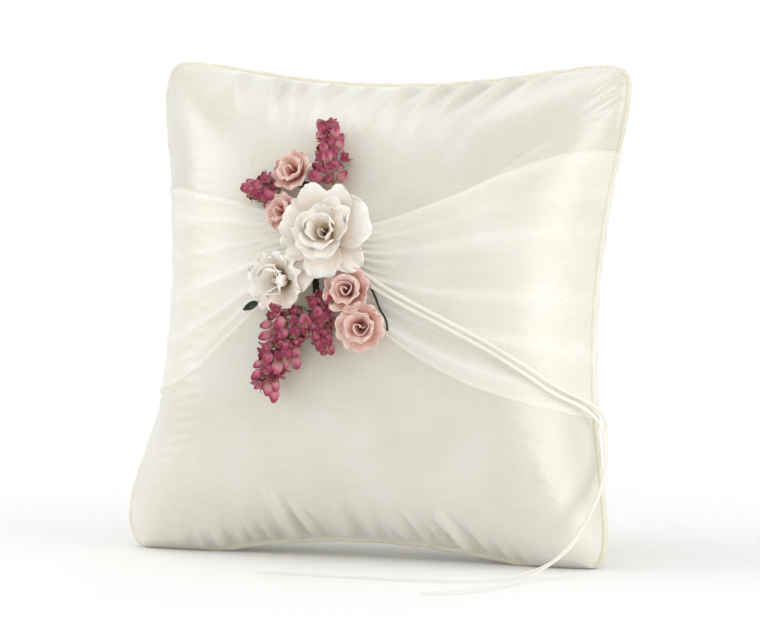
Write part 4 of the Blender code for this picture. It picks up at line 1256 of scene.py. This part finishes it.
@dataclass
class Petal:
    """A single petal, drawn from its foot outwards, with its lengths in millimetres.

    Attributes:
        heading: Direction round the flower in degrees.
        length: Foot to rim.
        width: Widest part.
        lean: Angle from the flower's axis at the foot and at the rim, in degrees.
        foot: Distance of the foot from the axis.
        rise: Height of the foot.
        cup: How much the sides stand up, as a share of the half width.
        ruffle: Height of the rim's waves.
        waves: Waves across the rim.
        notch: Depth of the dip in the middle of the rim, as a share of the length.
        roll: Extra outward turn of the last part, in degrees.
    """

    heading: float
    length: float
    width: float
    lean: tuple[float, float]
    foot: float = 1.0
    rise: float = 0.0
    cup: float = 0.2
    ruffle: float = 0.5
    waves: float = 2.5
    notch: float = 0.05
    roll: float = 20.0

    def grid(self, rows: int = 15, columns: int = 17) -> tuple[Array, Array]:
        """Points about the flower's own axis, and the depth of each.

        The middle line bends from the first lean to the second and is summed in steps. The half
        width grows fast from a narrow foot, w(v) = (1 - (1 - v)^2.4)^0.7, and the rim is rounded.

        Args:
            rows: Points from foot to rim.
            columns: Points across.

        Returns:
            The points and their depths.
        """
        v = np.linspace(0.0, 1.0, rows)[:, None]
        u = np.linspace(-1.0, 1.0, columns)[None, :]
        rolled = self.roll * smooth_step((v - 0.7) / 0.3)
        lean = np.radians(self.lean[0] + (self.lean[1] - self.lean[0]) * v + rolled)
        step = self.length / (rows - 1)
        out = self.foot + np.concatenate([[[0.0]], np.cumsum(np.sin(lean[1:]) * step, axis=0)])
        up = self.rise + np.concatenate([[[0.0]], np.cumsum(np.cos(lean[1:]) * step, axis=0)])
        half = 0.5 * self.width * (1.0 - (1.0 - v) ** 2.4) ** 0.7 * (1.0 - 0.22 * v ** 6)
        half = np.maximum(half, 0.12 * self.width * (0.4 + v))
        side = half * np.sin(u * 1.35) / math.sin(1.35)
        back = (0.24 * np.abs(u) ** 2.6 + self.notch * np.exp(-(u / 0.22) ** 2)) * self.length * v ** 3
        stand = self.cup * half * u ** 2 * (0.4 + 0.6 * v)
        wave = self.ruffle * v ** 3 * np.sin(self.waves * math.pi * u + math.radians(self.heading) * 3.0)
        wave = wave + 0.35 * self.ruffle * v ** 2 * np.sin(5.7 * math.pi * u + self.heading)
        radial = out - back * np.sin(lean) - (stand + wave) * np.cos(lean)
        height = up - back * np.cos(lean) + (stand + wave) * np.sin(lean)
        turn = math.radians(self.heading)
        points = np.stack([radial * math.cos(turn) - side * math.sin(turn),
                           radial * math.sin(turn) + side * math.cos(turn), height], axis=-1)
        # Depth runs from the foot to the rim; the flower papers paint shade where it is low, deep in the
        # flower.
        depth = np.clip(v ** 0.8 + 0.1 * np.abs(u) * v, 0.0, 1.0)
        return points * MM, depth * np.ones_like(u)


@dataclass
class Flower:
    """A paper flower on the pillow's face: where it sits and how it is turned."""

    form: PillowForm
    x: float
    z: float
    lift: float
    tilt_x: float = 0.0
    tilt_z: float = 0.0

    def place(self, points: Array) -> Array:
        """Move points from the flower's frame (z out of the face, y up it) to where it sits.

        Args:
            points: Points of the flower's frame.

        Returns:
            The standing points.
        """
        origin, normal = self.form.on_face(self.x, self.z, self.lift)
        slope = np.array([math.tan(math.radians(self.tilt_x)), 0.0, math.tan(math.radians(self.tilt_z))])
        axis = unit(normal + slope)
        right = unit(np.cross(axis, np.array([0.0, 0.0, 1.0]))) * -1.0
        upper = np.cross(axis, right)
        return origin + points[..., :1] * right + points[..., 1:2] * upper + points[..., 2:] * axis

    def patches(self, petals: list[Petal], tones: list[float]) -> list[Patch]:
        """Placed patches of petals.

        Args:
            petals: The petals.
            tones: One tone a petal.

        Returns:
            One patch a petal.
        """
        result = []
        for petal, tone in zip(petals, tones):
            points, depth = petal.grid()
            result.append(Patch(self.place(points), depth=depth, tone=tone))
        return result

    def wrapped_strip(self, radius: float, height: float, turns: float, tone: float,
                      flare: float) -> Patch:
        """A strip of paper rolled into a rosette.

        Its radius grows with the square root of the turn, its rim waves and leans outwards, and the
        outer turns stand a little lower than the inner ones.

        Args:
            radius: Outer radius in millimetres.
            height: Height in millimetres.
            turns: How often it goes round.
            tone: Its tone.
            flare: How far the rim leans out.

        Returns:
            The strip.
        """
        a = np.linspace(0.0, 1.0, int(26 * turns))[:, None]
        v = np.linspace(0.0, 1.0, 7)[None, :]
        angle = 2 * math.pi * turns * a ** 0.8
        reach = radius * (0.12 + 0.88 * a ** 0.9)
        lean = flare * (0.3 + a) * v ** 2
        rim = height * (1.0 - 0.28 * a) + 0.07 * height * np.sin(angle * 2.3)
        r = reach * (0.55 + 0.45 * v) + reach * lean + 0.05 * radius * np.sin(3.0 * angle) * v
        points = np.stack([r * np.cos(angle), r * np.sin(angle), rim * v + 0 * angle], axis=-1)
        # Low depth at the strip's foot, deep in the flower, where the flower papers paint shade.
        depth = np.clip(0.1 + 0.9 * v ** 1.5 + 0 * a, 0, 1)
        return Patch(self.place(points * MM), depth=depth, tone=tone)


@dataclass
class PaperCorsage:
    """The flowers, buds, leaves, wire, stems, felt and tie in front of the sash."""

    form: PillowForm
    ivory: bpy.types.Material
    pink: bpy.types.Material
    berry: bpy.types.Material
    felt: bpy.types.Material
    thread: bpy.types.Material
    tape: bpy.types.Material
    leaf: bpy.types.Material
    paper_thickness: float = 0.28 * MM
    leaf_thickness: float = 0.3 * MM
    felt_radius: float = 11.0 * MM
    thread_radius: float = 0.4 * MM
    stem_radius: float = 0.62 * MM
    wire_radius: float = 0.45 * MM
    spray_stem_radius: float = 0.6 * MM
    twig_radius: float = 0.3 * MM
    opened_every: int = 3

    def finish_flower(self, name: str, patches: list[Patch], material: bpy.types.Material, slot: str,
                      nodes: tuple[str, ...]) -> bpy.types.Object:
        """Args:
            name: Name of the piece.
            patches: Its petals and its rolled strip.
            material: The paper.
            slot: Name of the finish.
            nodes: The CAD nodes that it replaces.

        Returns:
            The flower.
        """
        return declare(thicken(mesh_object(name, patches, material), self.paper_thickness), slot, *nodes)

    def large_rose(self) -> bpy.types.Object:
        """The wide rose: broad low outer petals, a bowl of middle petals and a wrapped heart."""
        rose = Flower(self.form, -4.2, 24.0, 6.4, 3.0)
        outer = [
            Petal(88, 19.5, 23.0, (48, 80), rise=0.4, notch=0.16, ruffle=1.1, waves=1.6),
            Petal(18, 19.5, 22.0, (54, 86), rise=0.3, notch=0.03, ruffle=1.0, waves=2.1),
            Petal(-42, 19.5, 13.5, (60, 92), rise=-0.2, notch=0.0, ruffle=0.8),
            Petal(-86, 18.0, 16.0, (56, 88), rise=0.2, notch=0.05, ruffle=1.1),
            Petal(-112, 24.0, 9.5, (62, 94), rise=-0.6, notch=0.0, ruffle=0.8, waves=1.4),
            Petal(-128, 22.0, 8.5, (62, 92), rise=-0.5, notch=0.0, ruffle=0.8, waves=1.2),
            Petal(-158, 17.5, 15.0, (60, 90), rise=0.0, notch=0.08, ruffle=1.0),
            Petal(158, 18.0, 18.0, (54, 82), rise=0.5, notch=0.05, ruffle=1.0),
            Petal(52, 15.5, 15.0, (40, 68), rise=1.7, notch=0.1, ruffle=1.0),
        ]
        middle = [
            Petal(122, 12.5, 16.0, (26, 52), rise=2.4, cup=0.34, ruffle=0.9, notch=0.1),
            Petal(22, 12.0, 14.0, (34, 66), rise=2.2, cup=0.3, ruffle=0.9),
            Petal(-84, 13.0, 16.5, (34, 70), rise=2.2, cup=0.3, ruffle=0.7),
            Petal(-160, 12.5, 14.5, (34, 66), rise=2.3, cup=0.34, ruffle=0.9),
        ]
        inner = [
            Petal(96, 10.0, 13.0, (8, 22), foot=2.6, rise=3.0, cup=0.6, roll=40.0),
            Petal(-104, 9.0, 14.0, (14, 38), foot=2.8, rise=3.0, cup=0.55, roll=50.0),
            Petal(10, 9.5, 9.0, (6, 20), foot=2.8, rise=2.8, cup=0.7, roll=26.0),
            Petal(178, 9.0, 9.0, (4, 18), foot=2.8, rise=2.8, cup=0.7, roll=30.0),
        ]
        petals = outer + middle + inner
        tones = [0.5 + 0.35 * math.sin(2.4 * i) for i in range(len(petals))]
        patches = rose.patches(petals, tones)
        patches.append(rose.wrapped_strip(3.0, 8.2, 1.3, 0.3, 0.3))
        return self.finish_flower("large_ivory_rose", patches, self.ivory, "ivory_paper", (
            "large_rose_outer_petals", "large_rose_middle_petals", "large_rose_inner_petals",
            "large_rose_heart"))

    def small_rose(self) -> bpy.types.Object:
        """The half-open rose, with crinkled petals folded in a V and two narrow hanging petals."""
        rose = Flower(self.form, -19.6, 7.6, 4.6, -12.0, -10.0)
        petals = [
            Petal(100, 13.8, 14.4, (30, 60), notch=0.12, ruffle=1.0, waves=3.2),
            Petal(30, 14.4, 13.8, (34, 66), ruffle=1.0, waves=3.0, notch=0.1),
            Petal(-38, 14.4, 13.8, (36, 70), ruffle=0.9, waves=3.0),
            Petal(-104, 14.9, 14.4, (38, 72), ruffle=1.0, waves=3.4, notch=0.12),
            Petal(-172, 14.9, 14.9, (36, 70), ruffle=1.0, waves=3.0, notch=0.1),
            Petal(138, 13.8, 13.2, (24, 50), ruffle=0.9, waves=3.4),
            Petal(66, 11.5, 11.5, (10, 34), rise=1.4, cup=0.8, ruffle=0.8, roll=30.0),
            Petal(-60, 11.5, 11.5, (12, 38), rise=1.4, cup=0.8, ruffle=0.8, roll=30.0),
            Petal(-150, 11.5, 12.1, (10, 34), rise=1.4, cup=0.9, ruffle=0.8, roll=26.0),
            Petal(150, 11.0, 10.3, (6, 26), rise=1.6, cup=1.0, ruffle=0.7, roll=26.0),
            Petal(0, 11.0, 10.3, (6, 26), rise=1.6, cup=1.0, ruffle=0.7, roll=26.0),
        ]
        tones = [0.5 + 0.4 * math.sin(1.9 * i + 1.0) for i in range(len(petals))]
        patches = rose.patches(petals, tones)
        patches.append(rose.wrapped_strip(2.6, 8.8, 1.8, 0.1, 0.1))
        return self.finish_flower("small_ivory_rose", patches, self.ivory, "ivory_paper", (
            "small_rose_outer_petals", "small_rose_inner_petals", "small_rose_heart"))

    def pink_rosettes(self) -> list[bpy.types.Object]:
        """Four small rosettes of wrapped strips between scalloped outer petals."""
        table = {
            "upper": (-20.8, 47.0, 8.6, 2.2, -6.0, 6.0, 4, 1.2),
            "left": (-23.0, 32.5, 7.6, 2.4, -10.0, 0.0, 4, 1.3),
            "right": (5.4, 3.4, 9.6, 3.4, 4.0, 2.0, 4, 2.4),
            "lower": (10.8, -9.0, 9.8, 2.6, 6.0, -6.0, 5, 1.6),
        }
        pieces = []
        for key, (x, z, radius, lift, tilt_x, tilt_z, count, turns) in table.items():
            rosette = Flower(self.form, x, z, lift, tilt_x, tilt_z)
            first, apart = x * 7, 360.0 / count
            ring = [Petal(apart * i + first, 1.12 * radius, 1.25 * radius, (34, 66),
                          foot=0.1 * radius, cup=0.35, ruffle=0.07 * radius, notch=0.08, roll=22.0)
                    for i in range(count)]
            ring += [Petal(apart * (i + 0.5) + first, 0.95 * radius, 1.05 * radius, (14, 40),
                           foot=0.12 * radius, rise=0.12 * radius, cup=0.6, ruffle=0.06 * radius,
                           notch=0.06, roll=24.0) for i in range(count)]
            tones = [0.5 + 0.35 * math.sin(2.2 * i + x) for i in range(len(ring))]
            patches = rosette.patches(ring, tones)
            patches.append(rosette.wrapped_strip(0.5 * radius, 0.98 * radius, turns, 0.55, 0.25))
            pieces.append(self.finish_flower(f"pink_rosette_{key}", patches, self.pink, "dusty_pink_paper", (
                f"pink_rose_{key}_outer_petals", f"pink_rose_{key}_inner_petals")))
        return pieces

    def spray(self, key: str, start: tuple[float, float], end: tuple[float, float], lift: float, count: int,
              reach: float, bud: float) -> bpy.types.Object:
        """A spray of lobed buds round a thin stem, fuller near its foot.

        Args:
            key: Name of the spray.
            start: Foot on the face in millimetres.
            end: Tip on the face in millimetres.
            lift: Height of the stem over the face.
            count: How many buds.
            reach: How far the buds stand out from the stem.
            bud: Length of a bud in millimetres.

        Returns:
            The spray.
        """
        foot, normal = self.form.on_face(start[0], start[1], lift)
        tip, _ = self.form.on_face(end[0], end[1], lift)
        along = unit(tip - foot)
        side = unit(np.cross(along, normal))
        front = np.cross(side, along)
        stem = np.linspace(0.0, 1.0, 12)[:, None] * (tip - foot) + foot
        section = round_section(self.spray_stem_radius, 6)
        patches = [Patch(carry_section(stem, np.tile(front, (12, 1)), section),
                         close_columns=True, depth=np.zeros((14, 6)), tone=0.0)]
        section = round_section(self.twig_radius, 5)
        for i in range(count):
            share = (i + 0.5) / count
            swing = math.radians(-88.0 + 176.0 * ((i * 0.382 + 0.1) % 1.0))
            spread = reach * (1.0 - 0.68 * share) * (0.72 + 0.28 * math.sin(i * 5.1)) * MM
            out = side * math.sin(swing) + front * max(math.cos(swing), 0.12)
            axis = unit(out * (1.0 - 0.55 * share) + along * (0.35 + 0.5 * share))
            place = foot + (tip - foot) * share + out * spread
            size = bud * (0.85 + 0.3 * math.sin(i * 2.7) ** 2)
            tone = (i * 0.37 + 0.15) % 1.0
            if i % self.opened_every == 1:
                patches += self.open_head(place, axis, size * MM, tone)
            else:
                patches.append(self.bud(place, axis, size * MM, tone))
            fork = stem[int(share * 11)]
            twig = np.linspace(0.0, 1.0, 5)[:, None] * (place - fork) + fork
            patches.append(Patch(carry_section(twig, np.tile(along, (5, 1)), section),
                                 close_columns=True, depth=np.zeros((7, 5)), tone=0.0))
        piece = mesh_object(f"bud_spray_{key}_heads", patches, self.berry)
        return declare(piece, "burgundy_bud_paper", f"bud_spray_{key}")

    @staticmethod
    def bud(place: Array, axis: Array, size: float, tone: float) -> Patch:
        """A shut ovoid bud of overlapping lobes with a pointed tip.

        The radius at height v is that of an egg, sin(pi v^0.8)^0.7, times lobes that twist upwards.

        Args:
            place: Where its middle is.
            axis: The way its tip points.
            size: Its length in metres.
            tone: Its tone.

        Returns:
            The bud.
        """
        v = np.linspace(0.0, 1.0, 12)[:, None]
        angle = (np.arange(15) * 2 * math.pi / 15)[None, :]
        twist = 3.0 * angle + math.pi * v + tone * 6.0
        radius = size * 0.36 * np.sin(math.pi * v ** 0.8) ** 0.75 * (1.0 + 0.2 * np.cos(twist) * (0.3 + v))
        height = size * (v - 0.35) * 1.15 + size * 0.06 * np.cos(twist) * v * (v < 0.999)
        across = unit(np.cross(axis, np.array([0.31, 0.2, 0.93])))
        other = np.cross(axis, across)
        outward = np.cos(angle)[..., None] * across + np.sin(angle)[..., None] * other
        points = place + radius[..., None] * outward + height[..., None] * axis
        depth = np.clip(1.08 - v ** 2.2 * (0.85 + 0.3 * np.cos(twist)), 0.0, 1.0)
        return Patch(points, close_columns=True, flip=True, depth=depth, tone=tone)

    @staticmethod
    def open_head(place: Array, axis: Array, size: float, tone: float) -> list[Patch]:
        """An opened bud: five pointed petals that bend outwards round a small shut middle.

        A petal's half width is sin(pi (0.12 + 0.88 v))^0.8 of its widest, so that it ends in a point.

        Args:
            place: Where its middle is.
            axis: The way it opens.
            size: Its length in metres.
            tone: Its tone.

        Returns:
            The bud in the middle and five petals.
        """
        across = unit(np.cross(axis, np.array([0.31, 0.2, 0.93])))
        other = np.cross(axis, across)
        v = np.linspace(0.0, 1.0, 8)[:, None]
        u = np.linspace(-1.0, 1.0, 5)[None, :]
        half = 0.27 * size * np.sin(math.pi * (0.12 + 0.88 * v)) ** 0.8
        patches = [PaperCorsage.bud(place, axis, 0.62 * size, 1.0 - tone)]
        for number in range(5):
            turn = (number + tone * 3.0) * 2 * math.pi / 5
            lean = (0.35 + 0.25 * math.sin(number * 2.6 + tone * 9.0)) + 0.5 * v
            out = 0.1 * size + 0.78 * size * v * np.sin(lean) + 0 * u
            up = 0.78 * size * v * np.cos(lean) - 0.25 * size + 0.25 * half * u ** 2
            side = half * u
            way = math.cos(turn) * across + math.sin(turn) * other
            wide = math.cos(turn) * other - math.sin(turn) * across
            points = place + out[..., None] * way + side[..., None] * wide + up[..., None] * axis
            depth = np.clip(0.98 - 0.9 * v ** 2.5 - 0.45 * np.abs(u) ** 3 * v, 0.0, 1.0)
            patches.append(Patch(points, depth=depth, tone=(tone + 0.17 * number) % 1.0))
        return patches

    def sprays(self) -> list[bpy.types.Object]:
        """All four sprays."""
        return [self.spray("upper", (-5.0, 42.0), (-11.5, 66.0), 3.8, 27, 8.6, 5.2),
                self.spray("left", (-27.0, 42.0), (-40.0, 40.5), 3.4, 19, 6.8, 5.0),
                self.spray("lower_left", (-13.5, -2.5), (-27.0, -33.0), 4.4, 48, 11.5, 5.4),
                self.spray("lower", (-4.5, 3.0), (-3.4, -18.0), 5.0, 28, 5.6, 4.9)]

    def felt_disc(self) -> bpy.types.Object:
        """The felt disc under the flowers: a flat profile turned about its axis, with a wavy rim."""
        angle = (np.arange(40) * 2 * math.pi / 40)[None, :]
        share = np.array([0.0, 0.5, 0.94, 1.0, 1.0, 0.94, 0.5, 0.0])[:, None]
        high = np.array([1.2, 1.2, 1.2, 1.0, 0.2, 0.0, 0.0, 0.0])[:, None] * MM
        rim = self.felt_radius * share * (1.0 + 0.012 * np.sin(7 * angle) * share)
        disc = np.stack([rim * np.cos(angle), rim * np.sin(angle), high + 0 * angle], axis=-1)
        seat = Flower(self.form, -7.0, 22.0, 4.5)
        felt = mesh_object("felt_disc", [Patch(seat.place(disc), close_columns=True)], self.felt)
        return declare(felt, "ivory_felt", "felt_backing")

    def sash_tie(self) -> bpy.types.Object:
        """The thread wound three times round the sash's neck: an oval path, once round sideways."""
        turns = np.linspace(0.0, 1.0, 150, endpoint=False)
        around = 2 * math.pi * 3 * turns
        x = -8.08 + 1.1 * np.cos(2 * math.pi * turns)
        z = 18.4 + 10.8 * np.cos(around)
        path, normal = self.form.on_face(x, z, 2.2 + 1.6 * np.sin(around))
        bead = closed_loop(path, unit(normal), round_section(self.thread_radius, 7))
        tie = mesh_object("sash_tie_thread", [Patch(bead, close_rows=True, close_columns=True)], self.thread)
        return declare(tie, "ivory_thread", "sash_tie")

    def stem_bundle(self) -> bpy.types.Object:
        """Three taped stems side by side behind the flowers, each a round section on a path."""
        patches = []
        for shift, twist in ((-0.7, 0.0), (0.75, 2.1), (0.0, 4.0)):
            route = np.array([(-8.5 + shift, 9.2, 5.2), (-8.0 + shift, 5.0, 4.6), (-7.6 + shift, 0.0, 4.0),
                              (-7.4 + 1.3 * shift, -4.2, 3.6)])
            middle, face = self.form.on_face(*smooth_path(route, 28).T)
            ring = self.stem_radius * (1.0 + 0.12 * np.sin(np.arange(28) * 1.7 + twist))[:, None, None]
            section = round_section(1.0, 10)[None] * ring
            patches.append(Patch(carry_section(middle, face, section), close_columns=True))
        stems = mesh_object("taped_stem_bundle", patches, self.tape)
        return declare(stems, "floral_tape", "taped_stems")

    def wire(self) -> bpy.types.Object:
        """A wrapped wire that runs under the rosettes: a round section on a path."""
        route = np.array([(6.5, 14.0, 5.8), (10.6, 9.0, 4.6), (14.2, 3.6, 3.6), (17.0, -2.5, 3.2),
                          (19.6, -6.5, 3.4), (20.3, -10.5, 3.2)])
        middle, face = self.form.on_face(*smooth_path(route, 40).T)
        section = round_section(self.wire_radius, 10)
        wire = mesh_object("wrapped_wire", [Patch(carry_section(middle, face, section), close_columns=True)],
                           self.leaf)
        return declare(wire, "dark_leaf_paper", "floral_wire")

    def leaf_piece(self, node: str, x: float, z: float, lift: float, length: float, width: float,
                   heading: float) -> bpy.types.Object:
        """A small serrated leaf with a folded middle rib and a curling tip.

        Args:
            node: The CAD node that it replaces.
            x: Foot on the face in millimetres.
            z: Foot on the face in millimetres.
            lift: Height over the face in millimetres.
            length: Foot to tip in millimetres.
            width: Widest part in millimetres.
            heading: Turn on the face in degrees.

        Returns:
            The leaf.
        """
        v = np.linspace(0.0, 1.0, 21)[:, None]
        u = np.linspace(-1.0, 1.0, 9)[None, :]
        half = 0.5 * width * np.sin(math.pi * (0.06 + 0.93 * v) ** 0.85) ** 0.8
        half = half * (1.0 + 0.06 * np.sin(v * 60.0) * np.abs(u) ** 3)
        rise = 0.7 + 0.9 * v ** 2 + 0.35 * np.abs(u) * half + 0.12 * np.sin(v * 30.0) * np.abs(u)
        local = np.stack([half * u, length * v + 0 * u, rise], axis=-1) * MM
        turn = math.radians(heading)
        cos, sin = math.cos(turn), math.sin(turn)
        turned = np.stack([local[..., 0] * cos - local[..., 1] * sin,
                           local[..., 0] * sin + local[..., 1] * cos, local[..., 2]], axis=-1)
        seat = Flower(self.form, x, z, lift)
        piece = mesh_object(node + "_paper", [Patch(seat.place(turned), depth=1.0 - 0.5 * np.abs(u) + 0 * v)],
                            self.leaf)
        return declare(thicken(piece, self.leaf_thickness), "dark_leaf_paper", node)

    def build(self) -> list[bpy.types.Object]:
        """Build every piece of the corsage."""
        return [self.felt_disc(), self.sash_tie(), self.stem_bundle(), self.wire(),
                self.leaf_piece("leaf_left", -32.5, -1.2, 2.2, 6.6, 3.0, 118.0),
                self.leaf_piece("leaf_upper", -14.0, 42.5, 2.4, 7.0, 3.2, 80.0),
                self.large_rose(), self.small_rose()] + self.pink_rosettes() + self.sprays()


@dataclass
class Studio:
    """A white table top, soft lamps and the camera."""

    azimuth: float = 20.61
    elevation: float = 4.41
    distance: float = 1.7287
    scale: float = 2596.0
    centre: tuple[float, float] = (381.02, 313.70)
    picture: tuple[float, float] = (760.0, 630.0)
    target: tuple[float, float, float] = (0.0, 0.0043, 0.093)
    sensor: float = 36.0
    fill: float = 0.70
    seen_white: float = 1.05
    table_half_side: float = 3.0
    table_fade: tuple[float, float] = (0.12, 0.42)
    lamps: tuple[tuple[str, tuple[float, float, float], float, float], ...] = (
        ("left_window", (-1.8, -0.7, 0.9), 1.3, 14.5), ("right_window", (1.8, -0.45, 0.5), 1.4, 14.0),
        ("top_softbox", (0.0, 0.0, 1.9), 1.4, 7.0))

    def camera(self) -> None:
        """Set the camera at the viewing angle, with a long lens."""
        a, e = math.radians(self.azimuth), math.radians(self.elevation)
        back = Vector((math.sin(a) * math.cos(e), -math.cos(a) * math.cos(e), math.sin(e)))
        lens = bpy.data.cameras.new("camera")
        lens.sensor_width = self.sensor
        lens.lens = self.sensor * self.scale * self.distance / self.picture[0]
        lens.shift_x = (self.picture[0] / 2 - self.centre[0]) / self.picture[0]
        lens.shift_y = (self.centre[1] - self.picture[1] / 2) / self.picture[0]
        lens.clip_start, lens.clip_end = 0.05, 50.0
        camera = bpy.data.objects.new("camera", lens)
        camera.location = Vector(self.target) + back * self.distance
        camera.rotation_euler = back.to_track_quat("Z", "Y").to_euler()
        bpy.context.scene.collection.objects.link(camera)
        bpy.context.scene.camera = camera

    def lamp(self, name: str, place: tuple[float, float, float], size: float, power: float) -> None:
        """A large soft lamp that faces the pillow.

        Args:
            name: Name of the lamp.
            place: Where it stands, in metres.
            size: Side of its square in metres.
            power: Its power in watts.
        """
        light = bpy.data.lights.new(name, "AREA")
        light.shape = "SQUARE"
        light.size = size
        light.energy = power
        item = bpy.data.objects.new(name, light)
        item.location = place
        item.rotation_euler = (Vector(place) - Vector(self.target)).to_track_quat("Z", "Y").to_euler()
        bpy.context.scene.collection.objects.link(item)

    def build(self) -> None:
        """Set the camera, the lamps, the table and the room."""
        self.camera()
        self.table()
        self.room()
        for name, place, size, power in self.lamps:
            self.lamp(name, place, size, power)
        bpy.context.scene.view_settings.view_transform = "Standard"

    def table(self) -> None:
        """Lay a matt white table top, painted laminate that gives the eye only soft shadows.

        It fades out with the distance from the pillow, so that no far edge shows.
        """
        white, tree, base = new_material("matt_white_table", {
            "Base Color": (0.93, 0.93, 0.925, 1.0), "Roughness": 0.9, "Specular IOR Level": 0.1})
        place = add_node(tree, "ShaderNodeTexCoord")
        reach = add_node(tree, "ShaderNodeVectorMath", {"operation": "LENGTH"}, {0: place.outputs["Object"]})
        fading = add_node(tree, "ShaderNodeMapRange", {
            "interpolation_type": "SMOOTHSTEP", "From Min": self.table_fade[0],
            "From Max": self.table_fade[1], "To Min": 1.0, "To Max": 0.0}, {"Value": reach.outputs["Value"]})
        tree.links.new(fading.outputs[0], base.inputs["Alpha"])
        ends = np.array([-1.0, 1.0]) * self.table_half_side
        across, along = np.meshgrid(ends, ends)
        corners = np.stack([across, along, 0 * across], axis=-1)
        mesh_object("table_top", [Patch(corners, flip=True)], white)

    def room(self) -> None:
        """Light the room evenly, and show it to the camera a little brighter, as plain white."""
        world = bpy.data.worlds.new("bright_room")
        world.use_nodes = True
        sky = world.node_tree.nodes["Background"]
        sky.inputs["Color"].default_value = linear("#FFFFFF")
        seen = add_node(world.node_tree, "ShaderNodeLightPath")
        strength = add_node(world.node_tree, "ShaderNodeMapRange", {
            "To Min": self.fill, "To Max": self.seen_white}, {"Value": seen.outputs["Is Camera Ray"]})
        world.node_tree.links.new(strength.outputs[0], sky.inputs["Strength"])
        bpy.context.scene.world = world


# ---------------------------------------------------------------- whole scene


def main() -> None:
    """Build the camera, the ribbons, the cushion, the sash and the corsage, in that order."""
    logging.basicConfig(level=logging.INFO, format="%(name)s: %(message)s")
    Studio().build()
    form = PillowForm()
    form.stand_behind("felt_backing", -7.0, 22.0, 6.1)
    form.build_panels()
    # The first stops of the ivory and pink flower papers are painted shade deep in the flowers; the berry
    # stops are the buds' own colours, tan at the tips.
    paper = ((0.0, "#9C7C50"), (0.25, "#D8C09C"), (0.5, "#F1E5D5"), (0.8, "#FAF1E6"), (1.0, "#FEFAF2"))
    pink_shade_to_rim = ((0.0, "#A4574B"), (0.35, "#D39486"), (0.65, "#E9B8AB"), (1.0, "#F7DDD2"))
    berries = ((0.0, "#A98F66"), (0.2, "#935F54"), (0.42, "#883448"), (0.7, "#BB4E72"), (0.88, "#C8788C"),
               (1.0, "#C98F8E"))
    ribbon = Satin("ivory_ribbon_satin", "#F6F3E8", "#ECE8D9", 0.4, 6.0, 0.3, True).build()
    bias = Satin("ivory_bias_satin", "#EAE6D2", "#DED8BF", 0.45, 1.6, 0.5, True).build()
    makers = (
        RingRibbons(form, ribbon),
        SatinCushion(form, Satin("ivory_panel_satin").build(), bias),
        OrganzaSash(form, Organza().build()),
        PaperCorsage(
            form,
            ivory=MulberryPaper("ivory_mulberry_paper", paper).build(),
            pink=MulberryPaper("dusty_pink_mulberry_paper", pink_shade_to_rim, fibre=1.5).build(),
            berry=MulberryPaper("burgundy_mulberry_paper", berries, fibre=1.2, roughness=0.75,
                                tone_share=0.24).build(),
            felt=SpunFibre("ivory_wool_felt", "#EDE7D8", "#CFC6B0", 0.6).build(),
            thread=SpunFibre("ivory_sewing_thread", "#F0EAD9", "#C9C0A8", 0.3).build(),
            tape=SpunFibre("crepe_floral_tape", "#3C4030", "#1F2118", 0.7, 2.0).build(),
            leaf=SpunFibre("dark_green_paper", "#4A5540", "#23281F", 0.8).build(),
        ),
    )
    for maker in makers:
        for piece in maker.build():
            LOG.info("built %s with %d faces", piece.name, len(piece.data.polygons))


if __name__ == "__main__":
    main()
